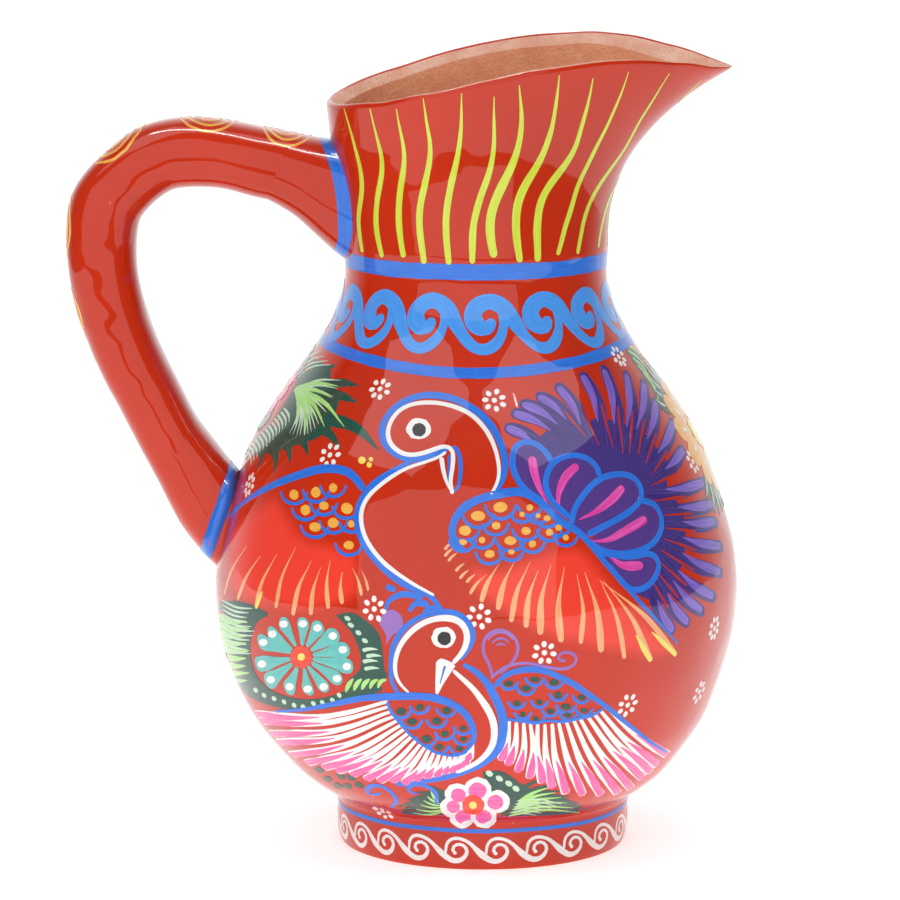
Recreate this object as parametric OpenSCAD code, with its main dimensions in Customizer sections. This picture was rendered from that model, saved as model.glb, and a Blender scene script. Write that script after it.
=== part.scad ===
// Painted clay pitcher with a pinched leaf-shaped mouth and a strap handle.
// Millimetres, +Z up. The origin is the centre of the flat underside, +X points to the spout,
// -X to the handle, and -Y is the main painted side.

/* [Body] */
// Radius of the body at its widest
body_r = 78.9; // [77:0.1:80]
// Height of the widest circle above the table
belly_z = 78; // [76:1:80]
// Thickness of the clay wall of the body
wall = 6; // [5:0.5:7]

/* [Foot] */
// Radius of the foot at its side
foot_r = 44.4; // [43:0.1:45]
// Radius of the flat part of the underside
foot_flat_r = 43; // [41:0.5:43.5]
// Thickness of the base slab, which is also the height of the foot's rounded edge
slab_h = 8; // [7:0.5:9]
// Height of the whole foot
foot_h = 14.6; // [14:0.2:15]

/* [Neck and mouth] */
// Radius of the neck where the mouth is luted on
neck_r = 40; // [39.5:0.1:41]
// Height at which the mouth starts
neck_z = 181; // [180:0.5:182]
// Reach of the spout's tip from the axis
spout_reach = 77.7; // [72:0.5:82]
// Reach of the rim on the handle's side
back_reach = 45.3; // [44:0.1:47]
// Half the width of the rim across the mouth
rim_half_w = 43; // [41:0.5:46]
// Thickness of the wall of the mouth
mouth_wall = 4.6; // [4:0.1:5.4]
// Height of the rim strip
strip_h = 3.6; // [3:0.1:5]

/* [Handle] */
// Half the width of the handle strap across the body
strap_half_w = 13; // [11:0.5:15]
// Clay that the joint coils add at the side of the strap
coil_side = 4.5; // [3:0.5:6]

/* [Hidden] */
$fn = 96;

shoulder_z = 163;       // seam between the upper bowl and the neck collar
steps = 5;              // spline steps between two points of the body's outline
bevel = 1;              // outline steps by which a clay seam rises from inside to outside
mouth_sides = 72;
mouth_rings = 12;
strap_sides = 24;
strap_steps = 4;        // spline steps between two stations of the handle
spout_flare = 2.5;      // exponent of the spout's flare over the mouth's height
leaf_power = 1.45;      // exponent of the leaf shape at the rim, 2 being an ellipse
rim_mean_z = 238;       // height of most of the rim, which fixes how tall the strip is
rim_lean = 2.9;         // how much higher the rim stands behind than in front
collar_in_r = foot_r - 6.6;
core_lap = 1.5;         // how far the solid that trims the handle reaches up into the mouth
coil_lip = 0.4;         // thickness of a coil at its thin end
coil_thin_x = -62;      // where the upper coil's thin end lies on the strap
coil_wall_x = -38;      // where it meets the mouth's wall
upper_shift = [0, -5.6];  // how far the upper coil's middle moves at the wall, in x and z
upper_spread = 6.2;     // how much thicker than the strap it is there, on each side
lower_shift = [5.3, 2.8]; // the same for the lower coil, which fills the corner over the strap
lower_spread = 6;
lower_span = 5;         // stations that the lower coil covers

// Outline of the body from the foot to the neck, as [radius, height]
outline = [
    [foot_r, foot_h], [52.2, 19.7], [58.8, 25.8], [68, 38], [73.6, 50.2],
    [body_r - 1.4, 64], [body_r, belly_z], [body_r - 1.3, 92], [73.3, 107.5], [67.4, 122.5],
    [59.4, 135.2], [50.6, 147], [44.4, 157], [41, 165], [39.6, 172], [neck_r, neck_z]
];

// Rim height along the mouth, as [x, height], from the handle to the tip
rim_line = [
    [-back_reach, 224], [-15, 231.4], [15, 237.9], [45, 239.8], [spout_reach, 234.2]
];

// Handle stations from the mouth to the body: [x, z, half thickness, half width].
// The first and last lie inside the walls, where the strap is trimmed.
stations = [
    [-24, 198, 11, strap_half_w], [-38, 199.8, 11.2, strap_half_w],
    [-50, 202.4, 10.9, strap_half_w], [-62, 204.7, 11.1, strap_half_w],
    [-73, 207.1, 10.7, strap_half_w], [-84, 208.1, 11.1, strap_half_w],
    [-94, 206.7, 11.2, strap_half_w], [-103.1, 200.6, 11.1, strap_half_w],
    [-109.6, 192.7, 11.4, strap_half_w], [-111.5, 182, 11.2, strap_half_w],
    [-110.6, 170, 10.8, strap_half_w], [-107.1, 156.2, 10.6, strap_half_w],
    [-101.4, 142.2, 10.3, strap_half_w], [-94.3, 128.3, 10.1, strap_half_w],
    [-87.2, 115, 10.4, strap_half_w], [-80.2, 102, 10.6, strap_half_w],
    [-72.5, 91.5, 10, strap_half_w], [-63, 83, 9.6, strap_half_w],
    [-52, 77, 9.2, strap_half_w]
];
last_station = len(stations) - 1;

// Catmull-Rom curve through points of any dimension
function cubic(a, b, c, d, t) =
    0.5 * (2 * b + (c - a) * t + (2 * a - 5 * b + 4 * c - d) * t * t
    + (3 * b - a - 3 * c + d) * t * t * t);
function at(points, i) = points[min(max(i, 0), len(points) - 1)];
function curve(points, n) = concat(
    [for (i = [0:len(points) - 2], k = [0:n - 1])
        cubic(at(points, i - 1), points[i], points[i + 1], at(points, i + 2), k / n)],
    [points[len(points) - 1]]
);

// Thickness of the clay at a height: the body's wall thins to the mouth's in the neck.
function clay_at(z) = lookup(z, [[shoulder_z - 20, wall], [neck_z, mouth_wall]]);

// The outline moved inwards by the clay's thickness, square to itself
function inset(points) = [
    for (i = [0:len(points) - 1])
        let (v = at(points, i + 1) - at(points, i - 1))
        points[i] + clay_at(points[i][1]) * [-v[1], v[0]] / norm(v)
];
outer_line = curve(outline, steps);
inner_line = inset(outer_line);
last = len(outer_line) - 1;
function index_at(z) = len([for (p = outer_line) if (p[1] < z) 1]);
belly_i = index_at(belly_z - 0.01);
shoulder_i = index_at(shoulder_z);

// A clay ring between two places on the outline. Its seams slope up from inside to outside.
module outline_ring(from, to) {
    low_in = from == 0 ? 0 : from - bevel;
    high_in = to == last ? last : to - bevel;
    rotate_extrude()
        polygon(concat(
            [for (i = [from:to]) outer_line[i]],
            [for (i = [high_in:-1:low_in])
                i == last ? [neck_r - mouth_wall, neck_z] : inner_line[i]],
            from == 0 ? [[collar_in_r, foot_h]] : []
        ));
}

module base_slab() {
    color("#c4593f")
        rotate_extrude() {
            square([foot_flat_r, slab_h]);
            intersection() {
                square([foot_r, slab_h]);
                translate([foot_flat_r, slab_h])
                    scale([(foot_r - foot_flat_r) / slab_h, 1])
                        circle(r = slab_h);
            }
        }
}

module foot_collar() {
    color("#c63a1c")
        rotate_extrude()
            polygon([
                [collar_in_r, slab_h], [foot_r, slab_h], [foot_r, foot_h],
                [collar_in_r, foot_h]
            ]);
}

module lower_bowl() { color("#c8381a") outline_ring(0, belly_i); }
module upper_bowl() { color("#cc3c1e") outline_ring(belly_i, shoulder_i); }
module neck_collar() { color("#c8381a") outline_ring(shoulder_i, last); }

// Height of the rim above x, on the polyline through rim_line
rim_curve = curve(rim_line, 6);
function rim_z(x) = lookup(x, rim_curve);

// A point of the mouth's wall: t runs from 0 at the neck to 1 at the rim, a is the angle
// from the spout, and inset is the depth into the clay.
function mouth_point(a, t, inset) =
    let (
        leaf = 2 / (2 - (2 - leaf_power) * pow(t, 1.5)),
        front = neck_r + (spout_reach - neck_r) * pow(t, spout_flare) - inset,
        back = neck_r + (back_reach - neck_r) * t - inset,
        side = neck_r + (rim_half_w - neck_r) * pow(t, 3) - 1.6 * sin(180 * t) - inset,
        c = cos(a),
        s = sin(a),
        x = c > 0 ? front * pow(c, leaf) : back * c,
        y = side * sign(s) * (c > 0 ? pow(abs(s), leaf) : abs(s)),
        full_x = c > 0 ? spout_reach * pow(c, 2 / leaf_power) : back_reach * c
    )
    [x, y, neck_z + t * (rim_z(full_x) + rim_lean * s - neck_z)];

// A closed ring of equal sections, each a list of points in the same order
module section_ring(sections, flip = false) {
    n = len(sections);
    m = len(sections[0]);
    polyhedron(
        [for (s = sections, p = s) p],
        [for (i = [0:n - 1], j = [0:m - 1])
            let (
                i2 = (i + 1) % n,
                j2 = (j + 1) % m,
                q = [i * m + j, i * m + j2, i2 * m + j2, i2 * m + j]
            )
            each flip ? [[q[0], q[1], q[3]], [q[1], q[2], q[3]]]
                : [[q[0], q[1], q[2]], [q[0], q[2], q[3]]]],
        convexity = 6
    );
}

strip_t = 1 - strip_h / (rim_mean_z - neck_z);
mouth_angles = [for (i = [0:mouth_sides - 1]) 360 * i / mouth_sides];

module mouth_wall() {
    color("#cb3a1c")
        section_ring([
            for (a = mouth_angles) concat(
                [for (k = [0:mouth_rings]) mouth_point(a, strip_t * k / mouth_rings, 0)],
                [for (k = [mouth_rings:-1:0])
                    mouth_point(a, strip_t * k / mouth_rings, mouth_wall)]
            )
        ]);
}

// The strip's top is rounded between its outer and inner edges.
module rim_strip() {
    color("#b9694e")
        section_ring([
            for (a = mouth_angles) concat(
                [mouth_point(a, strip_t, 0)],
                [for (k = [0:6])
                    let (u = 180 * k / 6, t = strip_t + (1 - strip_t) * (0.45 + 0.55 * sin(u)))
                    mouth_point(a, t, mouth_wall * (1 - cos(u)) / 2)],
                [mouth_point(a, strip_t, mouth_wall)]
            )
        ], flip = true);
}

// The solid inside the mouth's outer face, used to trim the handle
module mouth_core() {
    n = mouth_sides;
    polyhedron(
        concat(
            [for (k = [0:mouth_rings], a = mouth_angles)
                mouth_point(a, strip_t * k / mouth_rings, 0)],
            [[0, 0, neck_z], mouth_point(0, strip_t, spout_reach * 0.8)]
        ),
        concat(
            [for (k = [0:mouth_rings - 1], i = [0:n - 1])
                let (i2 = (i + 1) % n)
                each [[k * n + i, (k + 1) * n + i2, k * n + i2],
                      [k * n + i, (k + 1) * n + i, (k + 1) * n + i2]]],
            [for (i = [0:n - 1]) [(mouth_rings + 1) * n, i, (i + 1) % n]],
            [for (i = [0:n - 1])
                [(mouth_rings + 1) * n + 1, mouth_rings * n + (i + 1) % n,
                    mouth_rings * n + i]]
        ),
        convexity = 4
    );
}

// The solid inside the body's outer face, used to trim the handle. It reaches into the mouth's.
module body_core() {
    rotate_extrude()
        polygon(concat(
            [[0, foot_h]], outer_line,
            [[neck_r - core_lap, neck_z + core_lap], [0, neck_z + core_lap]]
        ));
}

// One oval section of the strap at a station: sin and cos eased towards a rounded box
function eased(v) = sign(v) * pow(abs(v), 0.82);
function strap_section(p, dir) = [
    for (i = [0:strap_sides - 1])
        let (a = 360 * i / strap_sides, h = p[2] * eased(cos(a)))
        [p[0] - dir[1] * h, p[3] * eased(sin(a)), p[1] + dir[0] * h]
];
// Sections for rows of stations, each square to the path of the strap
function strap_rings(rows, path) = [
    for (i = [0:len(rows) - 1])
        let (v = at(path, i + 1) - at(path, i - 1), d = [v[0], v[1]] / norm([v[0], v[1]]))
        strap_section(rows[i], d)
];

// A solid through a row of sections, closed with flat ends
module strap_solid(rings) {
    n = len(rings);
    m = len(rings[0]);
    polyhedron(
        [for (r = rings, p = r) p],
        concat(
            [for (i = [0:n - 2], j = [0:m - 1])
                let (j2 = (j + 1) % m)
                each [[i * m + j, i * m + j2, (i + 1) * m + j2],
                      [i * m + j, (i + 1) * m + j2, (i + 1) * m + j]]],
            [[for (j = [m - 1:-1:0]) j]],
            [[for (j = [0:m - 1]) (n - 1) * m + j]]
        ),
        convexity = 6
    );
}

// A sleeve between the strap's own rings and wider rings round them
module sleeve(inner, outer) {
    n = len(inner);
    m = len(inner[0]);
    section_ring([
        for (j = [0:m - 1]) concat(
            [for (i = [0:n - 1]) outer[i][j]],
            [for (i = [n - 1:-1:0]) inner[i][j]]
        )
    ], flip = true);
}

strap_rows = curve(stations, strap_steps);

module handle() {
    color("#cd3d1f")
        difference() {
            strap_solid(strap_rings(strap_rows, strap_rows));
            mouth_core();
            body_core();
        }
}

// A strap row widened for a coil: u is 0 at the coil's thin end and 1 at the wall.
function widened(row, u, shift, spread) =
    let (g = pow(max(u, 0), 1.4))
    [row[0] + shift[0] * g, row[1] + shift[1] * g, row[2] + coil_lip + spread * g,
        row[3] + coil_lip + coil_side * g];

module upper_joint_coil() {
    rows = [for (r = strap_rows) if (r[0] >= coil_thin_x && r[1] > neck_z) r];
    wide = [
        for (r = rows)
            widened(r, (r[0] - coil_thin_x) / (coil_wall_x - coil_thin_x),
                upper_shift, upper_spread)
    ];
    color("#cd3d1f")
        difference() {
            sleeve(strap_rings(rows, rows), strap_rings(wide, rows));
            mouth_core();
            body_core();
        }
}

module lower_joint_coil() {
    first = (last_station - lower_span) * strap_steps;
    rows = [for (i = [first:len(strap_rows) - 1]) strap_rows[i]];
    wide = [
        for (i = [0:len(rows) - 1])
            widened(rows[i], i / (len(rows) - 1), lower_shift, lower_spread)
    ];
    color("#cd3d1f")
        difference() {
            sleeve(strap_rings(rows, rows), strap_rings(wide, rows));
            body_core();
        }
}

base_slab();
foot_collar();
lower_bowl();
upper_bowl();
neck_collar();
mouth_wall();
rim_strip();
handle();
upper_joint_coil();
lower_joint_coil();
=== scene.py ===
# Painted clay pitcher: smooth clay pieces, and the painting as thin raised strokes laid on them.
# Sizes are in millimetres until a mesh is made. +X is the spout, -Y the main painted side.
import math
import random

import bpy
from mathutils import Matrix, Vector, geometry, noise
from mathutils.bvhtree import BVHTree


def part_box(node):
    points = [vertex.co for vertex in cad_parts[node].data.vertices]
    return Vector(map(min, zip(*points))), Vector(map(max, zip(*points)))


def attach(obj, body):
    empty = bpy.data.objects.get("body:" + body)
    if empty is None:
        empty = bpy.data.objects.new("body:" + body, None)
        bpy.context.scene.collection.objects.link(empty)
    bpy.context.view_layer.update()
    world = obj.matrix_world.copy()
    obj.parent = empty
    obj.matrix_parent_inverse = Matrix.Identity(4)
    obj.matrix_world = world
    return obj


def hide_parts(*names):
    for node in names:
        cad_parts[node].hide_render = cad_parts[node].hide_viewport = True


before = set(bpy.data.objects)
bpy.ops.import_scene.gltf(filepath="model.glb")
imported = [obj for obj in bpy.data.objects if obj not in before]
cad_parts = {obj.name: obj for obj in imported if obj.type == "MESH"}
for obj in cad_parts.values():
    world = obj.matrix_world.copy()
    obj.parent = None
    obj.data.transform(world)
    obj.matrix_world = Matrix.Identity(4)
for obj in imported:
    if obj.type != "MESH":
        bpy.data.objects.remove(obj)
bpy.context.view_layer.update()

MM = 0.001

# ---------------------------------------------------------------- camera

EYE = Vector((-7.8, -1300.0, 323.0))
AIM = Vector((-7.8, 0.0, 118.5))
FRAME_WIDTH = 270.0         # what the picture shows at the aim point, mm
SENSOR = 36.0


def make_camera():
    """The camera stands 1.3 m in front of the painted side and looks a little down."""
    data = bpy.data.cameras.new("photo_camera")
    data.sensor_width = SENSOR
    data.lens = SENSOR * (AIM - EYE).length / FRAME_WIDTH
    data.clip_end = 20.0
    camera = bpy.data.objects.new("photo_camera", data)
    camera.location = EYE * MM
    camera.rotation_euler = (AIM - EYE).to_track_quat("-Z", "Y").to_euler()
    bpy.context.scene.collection.objects.link(camera)
    bpy.context.scene.camera = camera


make_camera()

# ---------------------------------------------------------------- sizes, from the frame


def corner(node, side, axis):
    """One number of a CAD node's box in mm: side 0 is its low corner and 1 its high corner."""
    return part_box(node)[side][axis] / MM


SLAB_H = corner("base_slab", 1, 2)
FOOT_H = corner("foot_collar", 1, 2)
FOOT_R = corner("foot_collar", 1, 0)
BELLY_Z = corner("upper_bowl", 0, 2)
BODY_R = corner("upper_bowl", 1, 0)
NECK_Z = corner("neck_collar", 1, 2)
SHOULDER_Z = 163.0          # the seam between the body and the neck's collar
FOOT_FLAT_R = 43.0          # the flat that the pitcher stands on
NECK_R = 40.0
SPOUT_REACH = 77.4          # from the axis to the spout's tip, at the rim
BACK_REACH = 45.1           # from the axis to the back of the rim
RIM_HALF = 42.8             # half the rim's width
RIM_MEAN_Z = 238.0
RIM_LEAN = 2.9              # how much higher the far side of the rim stands, and lower the near side
LEAF_POWER = 1.45           # 2 is a round mouth, less is a leaf with a pointed spout
LEAF_START = 1.5            # these three powers tell how late the neck turns into the leaf,
SPOUT_FLARE = 2.5           # runs out to the spout
SIDE_FLARE = 3              # and widens at its sides
WAIST = 1.6                 # how far the neck's sides are drawn in halfway up
WALL = 6.0
MOUTH_WALL = 4.6
STRIP_H = 3.6
WELL_R = FOOT_R - 6.6       # the round hollow inside the foot
FOOT_ASIDE = 2.0            # how far the thrown foot stands off the axis, towards the spout
SKIN = 0.35                 # the clay stands this far inside the CAD face, to leave room for paint

OUTLINE = [
    (FOOT_R, FOOT_H), (52.2, 19.7), (58.8, 25.8), (68, 38), (73.6, 50.2), (BODY_R - 1.4, 64),
    (BODY_R, 78), (BODY_R - 1.3, 92), (73.3, 107.5), (67.4, 122.5), (59.4, 135.2),
    (50.6, 147), (44.4, 157), (41, 165), (39.6, 172), (NECK_R, NECK_Z),
]
FOOT_SEAM = [Vector((FOOT_R, 13.4)), Vector((FOOT_R + 0.2, 14.1)), Vector((FOOT_R + 0.8, 14.9))]
RIM_LINE = [(-BACK_REACH, 224), (-15, 231.4), (15, 237.9), (45, 239.8), (SPOUT_REACH, 234.2)]

LIP = [                     # the worn edge of the rim: how far in, and how far under the top
    (0, 2.2), (0.1, 1.3), (0.5, 0.5), (1.2, 0.1), (2.2, 0.5), (3.1, 1.5), (3.9, 2.5),
    (MOUTH_WALL - 0.1, STRIP_H - 0.3),
]

BROAD = (34.0, 0.8, (0, 0, 0))      # the hand-made swells of the wall: size, stretch in height, shift
MIDDLE = (13.0, 1.5, (7, 3, 1))
FINE = (5.5, 1.2, (2, 9, 4))
BROAD_DEPTH = 0.35
MIDDLE_DEPTH = 0.14
FINE_DEPTH = 0.035
RIM_DIP = 0.6                       # how far the rim's height wanders
RIM_DIP_SIZE = 14.0
SWELL_ZONE = (2.0, 14.0)            # the heights over which the swells set in
RIM_ZONE = (215.0, 230.0)           # the heights over which the rim starts to wander
ASIDE_ZONE = (62.0, 12.0)           # the heights over which the wall moves aside, down to the foot

# ---------------------------------------------------------------- curves

CURVE_STEPS = 12            # steps between two points of a curve before it is cut evenly
TINY = 1e-9


def flat_list(rows):
    return [item for row in rows for item in row]


def spline(points, spacing=None, count=None):
    """A Catmull-Rom curve through the points, as equally spaced points."""
    p = [Vector(q) for q in points]
    p = [2 * p[0] - p[1]] + p + [2 * p[-1] - p[-2]]
    fine = []
    for i in range(1, len(p) - 2):
        a, b, c, d = p[i - 1], p[i], p[i + 1], p[i + 2]
        for k in range(CURVE_STEPS):
            t = k / CURVE_STEPS
            fine.append(0.5 * (2 * b + (c - a) * t + (2 * a - 5 * b + 4 * c - d) * t * t
                               + (3 * b - a - 3 * c + d) * t ** 3))
    fine.append(p[-2])
    return resample(fine, spacing, count)


def lengths_along(line):
    along = [0.0]
    for a, b in zip(line, line[1:]):
        along.append(along[-1] + (b - a).length)
    return along


def resample(line, spacing=None, count=None):
    """The polyline cut into equal steps."""
    along = lengths_along(line)
    steps = count or max(2, round(along[-1] / spacing))
    out = []
    k = 0
    for i in range(steps + 1):
        s = along[-1] * i / steps
        while k < len(line) - 2 and along[k + 1] < s:
            k += 1
        span = along[k + 1] - along[k]
        t = (s - along[k]) / span if span > TINY else 0.0
        out.append(line[k].lerp(line[k + 1], min(max(t, 0.0), 1.0)))
    return out


def lookup(x, table):
    """Straight-line interpolation in a table of (x, value) pairs."""
    if x <= table[0][0]:
        return table[0][1]
    for (x0, v0), (x1, v1) in zip(table, table[1:]):
        if x <= x1:
            return v0 + (v1 - v0) * (x - x0) / (x1 - x0)
    return table[-1][1]


def smooth(t):
    """A soft step from 0 to 1."""
    t = min(max(t, 0.0), 1.0)
    return t * t * (3 - 2 * t)


def rise(z, start, end):
    """A soft step from 0 at one height to 1 at another."""
    return smooth((z - start) / (end - start))


# ---------------------------------------------------------------- the clay's shape

COLUMNS = 300               # places round the pitcher
EDGE_STEPS = 12
MOUTH_STEPS = 46
LIP_STEPS = 13
INNER_STEPS = 20
CENTRE_R = 0.01             # the smallest ring, round the middle of a flat face
MOUTH_H = RIM_MEAN_Z - NECK_Z
STRIP_T = 1 - STRIP_H / MOUTH_H
RIM_CURVE = [(p.x, p.y) for p in spline(RIM_LINE, count=40)]
LINE_OUT = spline(OUTLINE, spacing=1.3)


def mouth_point(a, t, inset):
    """A point of the mouth's wall: t from the neck to the rim, a from the spout, inset into the clay."""
    leaf = 2 / (2 - (2 - LEAF_POWER) * t ** LEAF_START)
    front = NECK_R + (SPOUT_REACH - NECK_R) * t ** SPOUT_FLARE - inset
    back = NECK_R + (BACK_REACH - NECK_R) * t - inset
    side = NECK_R + (RIM_HALF - NECK_R) * t ** SIDE_FLARE - WAIST * math.sin(math.pi * t) - inset
    c, s = math.cos(a), math.sin(a)
    if c > 0:
        x = front * c ** leaf
        y = side * math.copysign(abs(s) ** leaf, s)
        full_x = SPOUT_REACH * c ** (2 / LEAF_POWER)
    else:
        x, y, full_x = back * c, side * s, BACK_REACH * c
    top = lookup(full_x, RIM_CURVE) + RIM_LEAN * s
    return Vector((x, y, NECK_Z + t * (top - NECK_Z)))


def swell(p, size, stretch, shift):
    return noise.noise(Vector((p.x, p.y, p.z * stretch)) / size + Vector(shift))


def hand_shaped(p):
    """The small swells and dents of a wall shaped by hand, pushed in from the exact form."""
    flat = Vector((p.x, p.y, 0.0))
    if flat.length < 1.0:
        return p
    small = MIDDLE_DEPTH * swell(p, *MIDDLE)
    swells = BROAD_DEPTH * (swell(p, *BROAD) + 0.5) + small + FINE_DEPTH * swell(p, *FINE)
    push = SKIN + rise(p.z, *SWELL_ZONE) * swells
    drop = rise(p.z, *RIM_ZONE) * RIM_DIP * (noise.noise(flat / RIM_DIP_SIZE) + 0.5)
    aside = FOOT_ASIDE * rise(p.z, *ASIDE_ZONE)
    return p - flat.normalized() * push - Vector((-aside, 0, drop))


TURN = [2 * math.pi * j / COLUMNS for j in range(COLUMNS)]


def revolved(r, z):
    return [Vector((r * math.cos(a), r * math.sin(a), z)) for a in TURN]


def revolved_line(line):
    return [revolved(p[0], p[1]) for p in line]


def mouth_row(t, inset):
    return [mouth_point(a, t, inset) for a in TURN]


def inner_line():
    """The inside of the body: the outline moved in by the clay's thickness."""
    line = []
    for i, p in enumerate(LINE_OUT[::2]):
        k = 2 * i
        v = LINE_OUT[min(k + 1, len(LINE_OUT) - 1)] - LINE_OUT[max(k - 1, 0)]
        thick = lookup(p.y, [(SHOULDER_Z - 20, WALL), (NECK_Z, MOUTH_WALL)])
        line.append(p + thick * Vector((-v.y, v.x)).normalized())
    return [Vector((WELL_R, SLAB_H + 2.0))] + line[1:-1]


class Shell:
    """Every row of the pitcher's surface, from under the foot, over the rim and down inside."""

    def __init__(self):
        self.rows = []
        self.mark = {}
        self.add_foot()
        self.add_wall()
        self.add_mouth()
        self.add_inside()
        self.rows = [[hand_shaped(p) for p in row] for row in self.rows]
        self.normals = row_normals(self.rows)

    def add(self, name, rows):
        self.mark[name] = len(self.rows)
        self.rows += rows

    def add_foot(self):
        self.add("under", revolved_line([(r, 0.0) for r in (CENTRE_R, 14, 28, FOOT_FLAT_R - 0.5)]))
        reach = FOOT_R - FOOT_FLAT_R
        turn = [math.radians(90 - 90 * k / EDGE_STEPS) for k in range(EDGE_STEPS + 1)]
        self.add("edge", revolved_line([(FOOT_FLAT_R + reach * math.cos(v), SLAB_H * (1 - math.sin(v)))
                                        for v in turn]))
        self.add("collar", revolved_line([(FOOT_R, z) for z in (9.2, 10.5, 11.8, 12.8)]))
        self.add("foot_seam", revolved_line(FOOT_SEAM))

    def add_wall(self):
        start = next(i for i, p in enumerate(LINE_OUT) if p.x > FOOT_R + 1.6)
        rest = self.add_below("low", LINE_OUT[start:], BELLY_Z)
        rest = self.add_below("high", rest, SHOULDER_Z)
        self.add("neck", revolved_line(rest[:-1]))

    def add_below(self, name, line, top):
        """Adds the line's part below a height. Returns the rest, which starts right at the height."""
        self.add(name, revolved_line([p for p in line if p.y < top - 0.4]))
        seam = Vector((lookup(top, [(p.y, p.x) for p in line]), top))
        return [seam] + [p for p in line if p.y > top + 0.4]

    def add_mouth(self):
        self.add("mouth", [mouth_row(STRIP_T * k / MOUTH_STEPS, 0.0) for k in range(MOUTH_STEPS)])
        self.add("strip", [mouth_row(STRIP_T, 0.0)])
        self.add("lip", [mouth_row(1 - p.y / MOUTH_H, p.x) for p in spline(LIP, count=LIP_STEPS)])
        self.add("in_strip", [mouth_row(STRIP_T, MOUTH_WALL)])
        self.add("in_mouth", [mouth_row(STRIP_T * k / INNER_STEPS, MOUTH_WALL)
                              for k in range(INNER_STEPS - 1, 0, -1)])

    def add_inside(self):
        inside = inner_line()[::-1]
        neck_foot, belly = SHOULDER_Z - 3, BELLY_Z - 3
        high = [p for p in inside if p.y > neck_foot]
        self.add("in_neck", revolved_line([Vector((NECK_R - MOUTH_WALL, NECK_Z))] + high))
        self.add("in_high", revolved_line([p for p in inside if belly < p.y <= neck_foot]))
        self.add("in_low", revolved_line([p for p in inside if FOOT_H < p.y <= belly]))
        self.add("in_foot", revolved_line([(WELL_R, FOOT_H), (WELL_R, SLAB_H + 1.6),
                                           (WELL_R - 0.5, SLAB_H + 0.5)]))
        self.add("floor", revolved_line([(r, SLAB_H) for r in (WELL_R - 1.8, 24, 12, CENTRE_R)]))

    def take(self, *spans):
        """The row numbers, points and normals of one or more spans of rows (first, last)."""
        rows = flat_list(range(first, last + 1) for first, last in spans)
        return rows, flat_list(self.rows[i] for i in rows), flat_list(self.normals[i] for i in rows)


def row_normals(rows):
    """The normals of rows of points. The middle of a flat face has none, so it gets up or down."""
    out = []
    for i, row in enumerate(rows):
        below, above = rows[max(i - 1, 0)], rows[min(i + 1, len(rows) - 1)]
        upright = Vector((0, 0, -1 if i == 0 else 1))
        line = []
        for j in range(len(row)):
            n = (row[(j + 1) % len(row)] - row[j - 1]).cross(above[j] - below[j])
            line.append(n.normalized() if n.length > TINY else upright)
        out.append(line)
    return out


def grid_faces(rows, columns, closed=False):
    """The faces between rows of points that run round, joined from the last row to the first if closed."""
    faces = []
    for i in range(rows if closed else rows - 1):
        k = (i + 1) % rows
        for j in range(columns):
            m = (j + 1) % columns
            faces.append((i * columns + j, i * columns + m, k * columns + m, k * columns + j))
    return faces


# ---------------------------------------------------------------- meshes


def make_piece(name, points, faces, material, normals, flat, slot, mark=None, values=()):
    """A mesh object from points in millimetres. It has the given normals except on its flat faces."""
    mesh = bpy.data.meshes.new(name)
    mesh.from_pydata([p * MM for p in points], [], faces)
    mesh.polygons.foreach_set("use_smooth", [True] * len(mesh.polygons))
    if mark:
        layer = mesh.attributes.new(mark, "FLOAT_VECTOR", "POINT")
        layer.data.foreach_set("vector", flat_list(values))
    loops = []
    zero = (0.0, 0.0, 0.0)
    for polygon in mesh.polygons:
        for v in polygon.vertices:
            loops.append(zero if polygon.index in flat else normals[v])
    mesh.normals_split_custom_set(loops)
    mesh.materials.append(material)
    obj = bpy.data.objects.new(name, mesh)
    bpy.context.scene.collection.objects.link(obj)
    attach(obj, "root")
    return obj


# ---------------------------------------------------------------- materials


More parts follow.
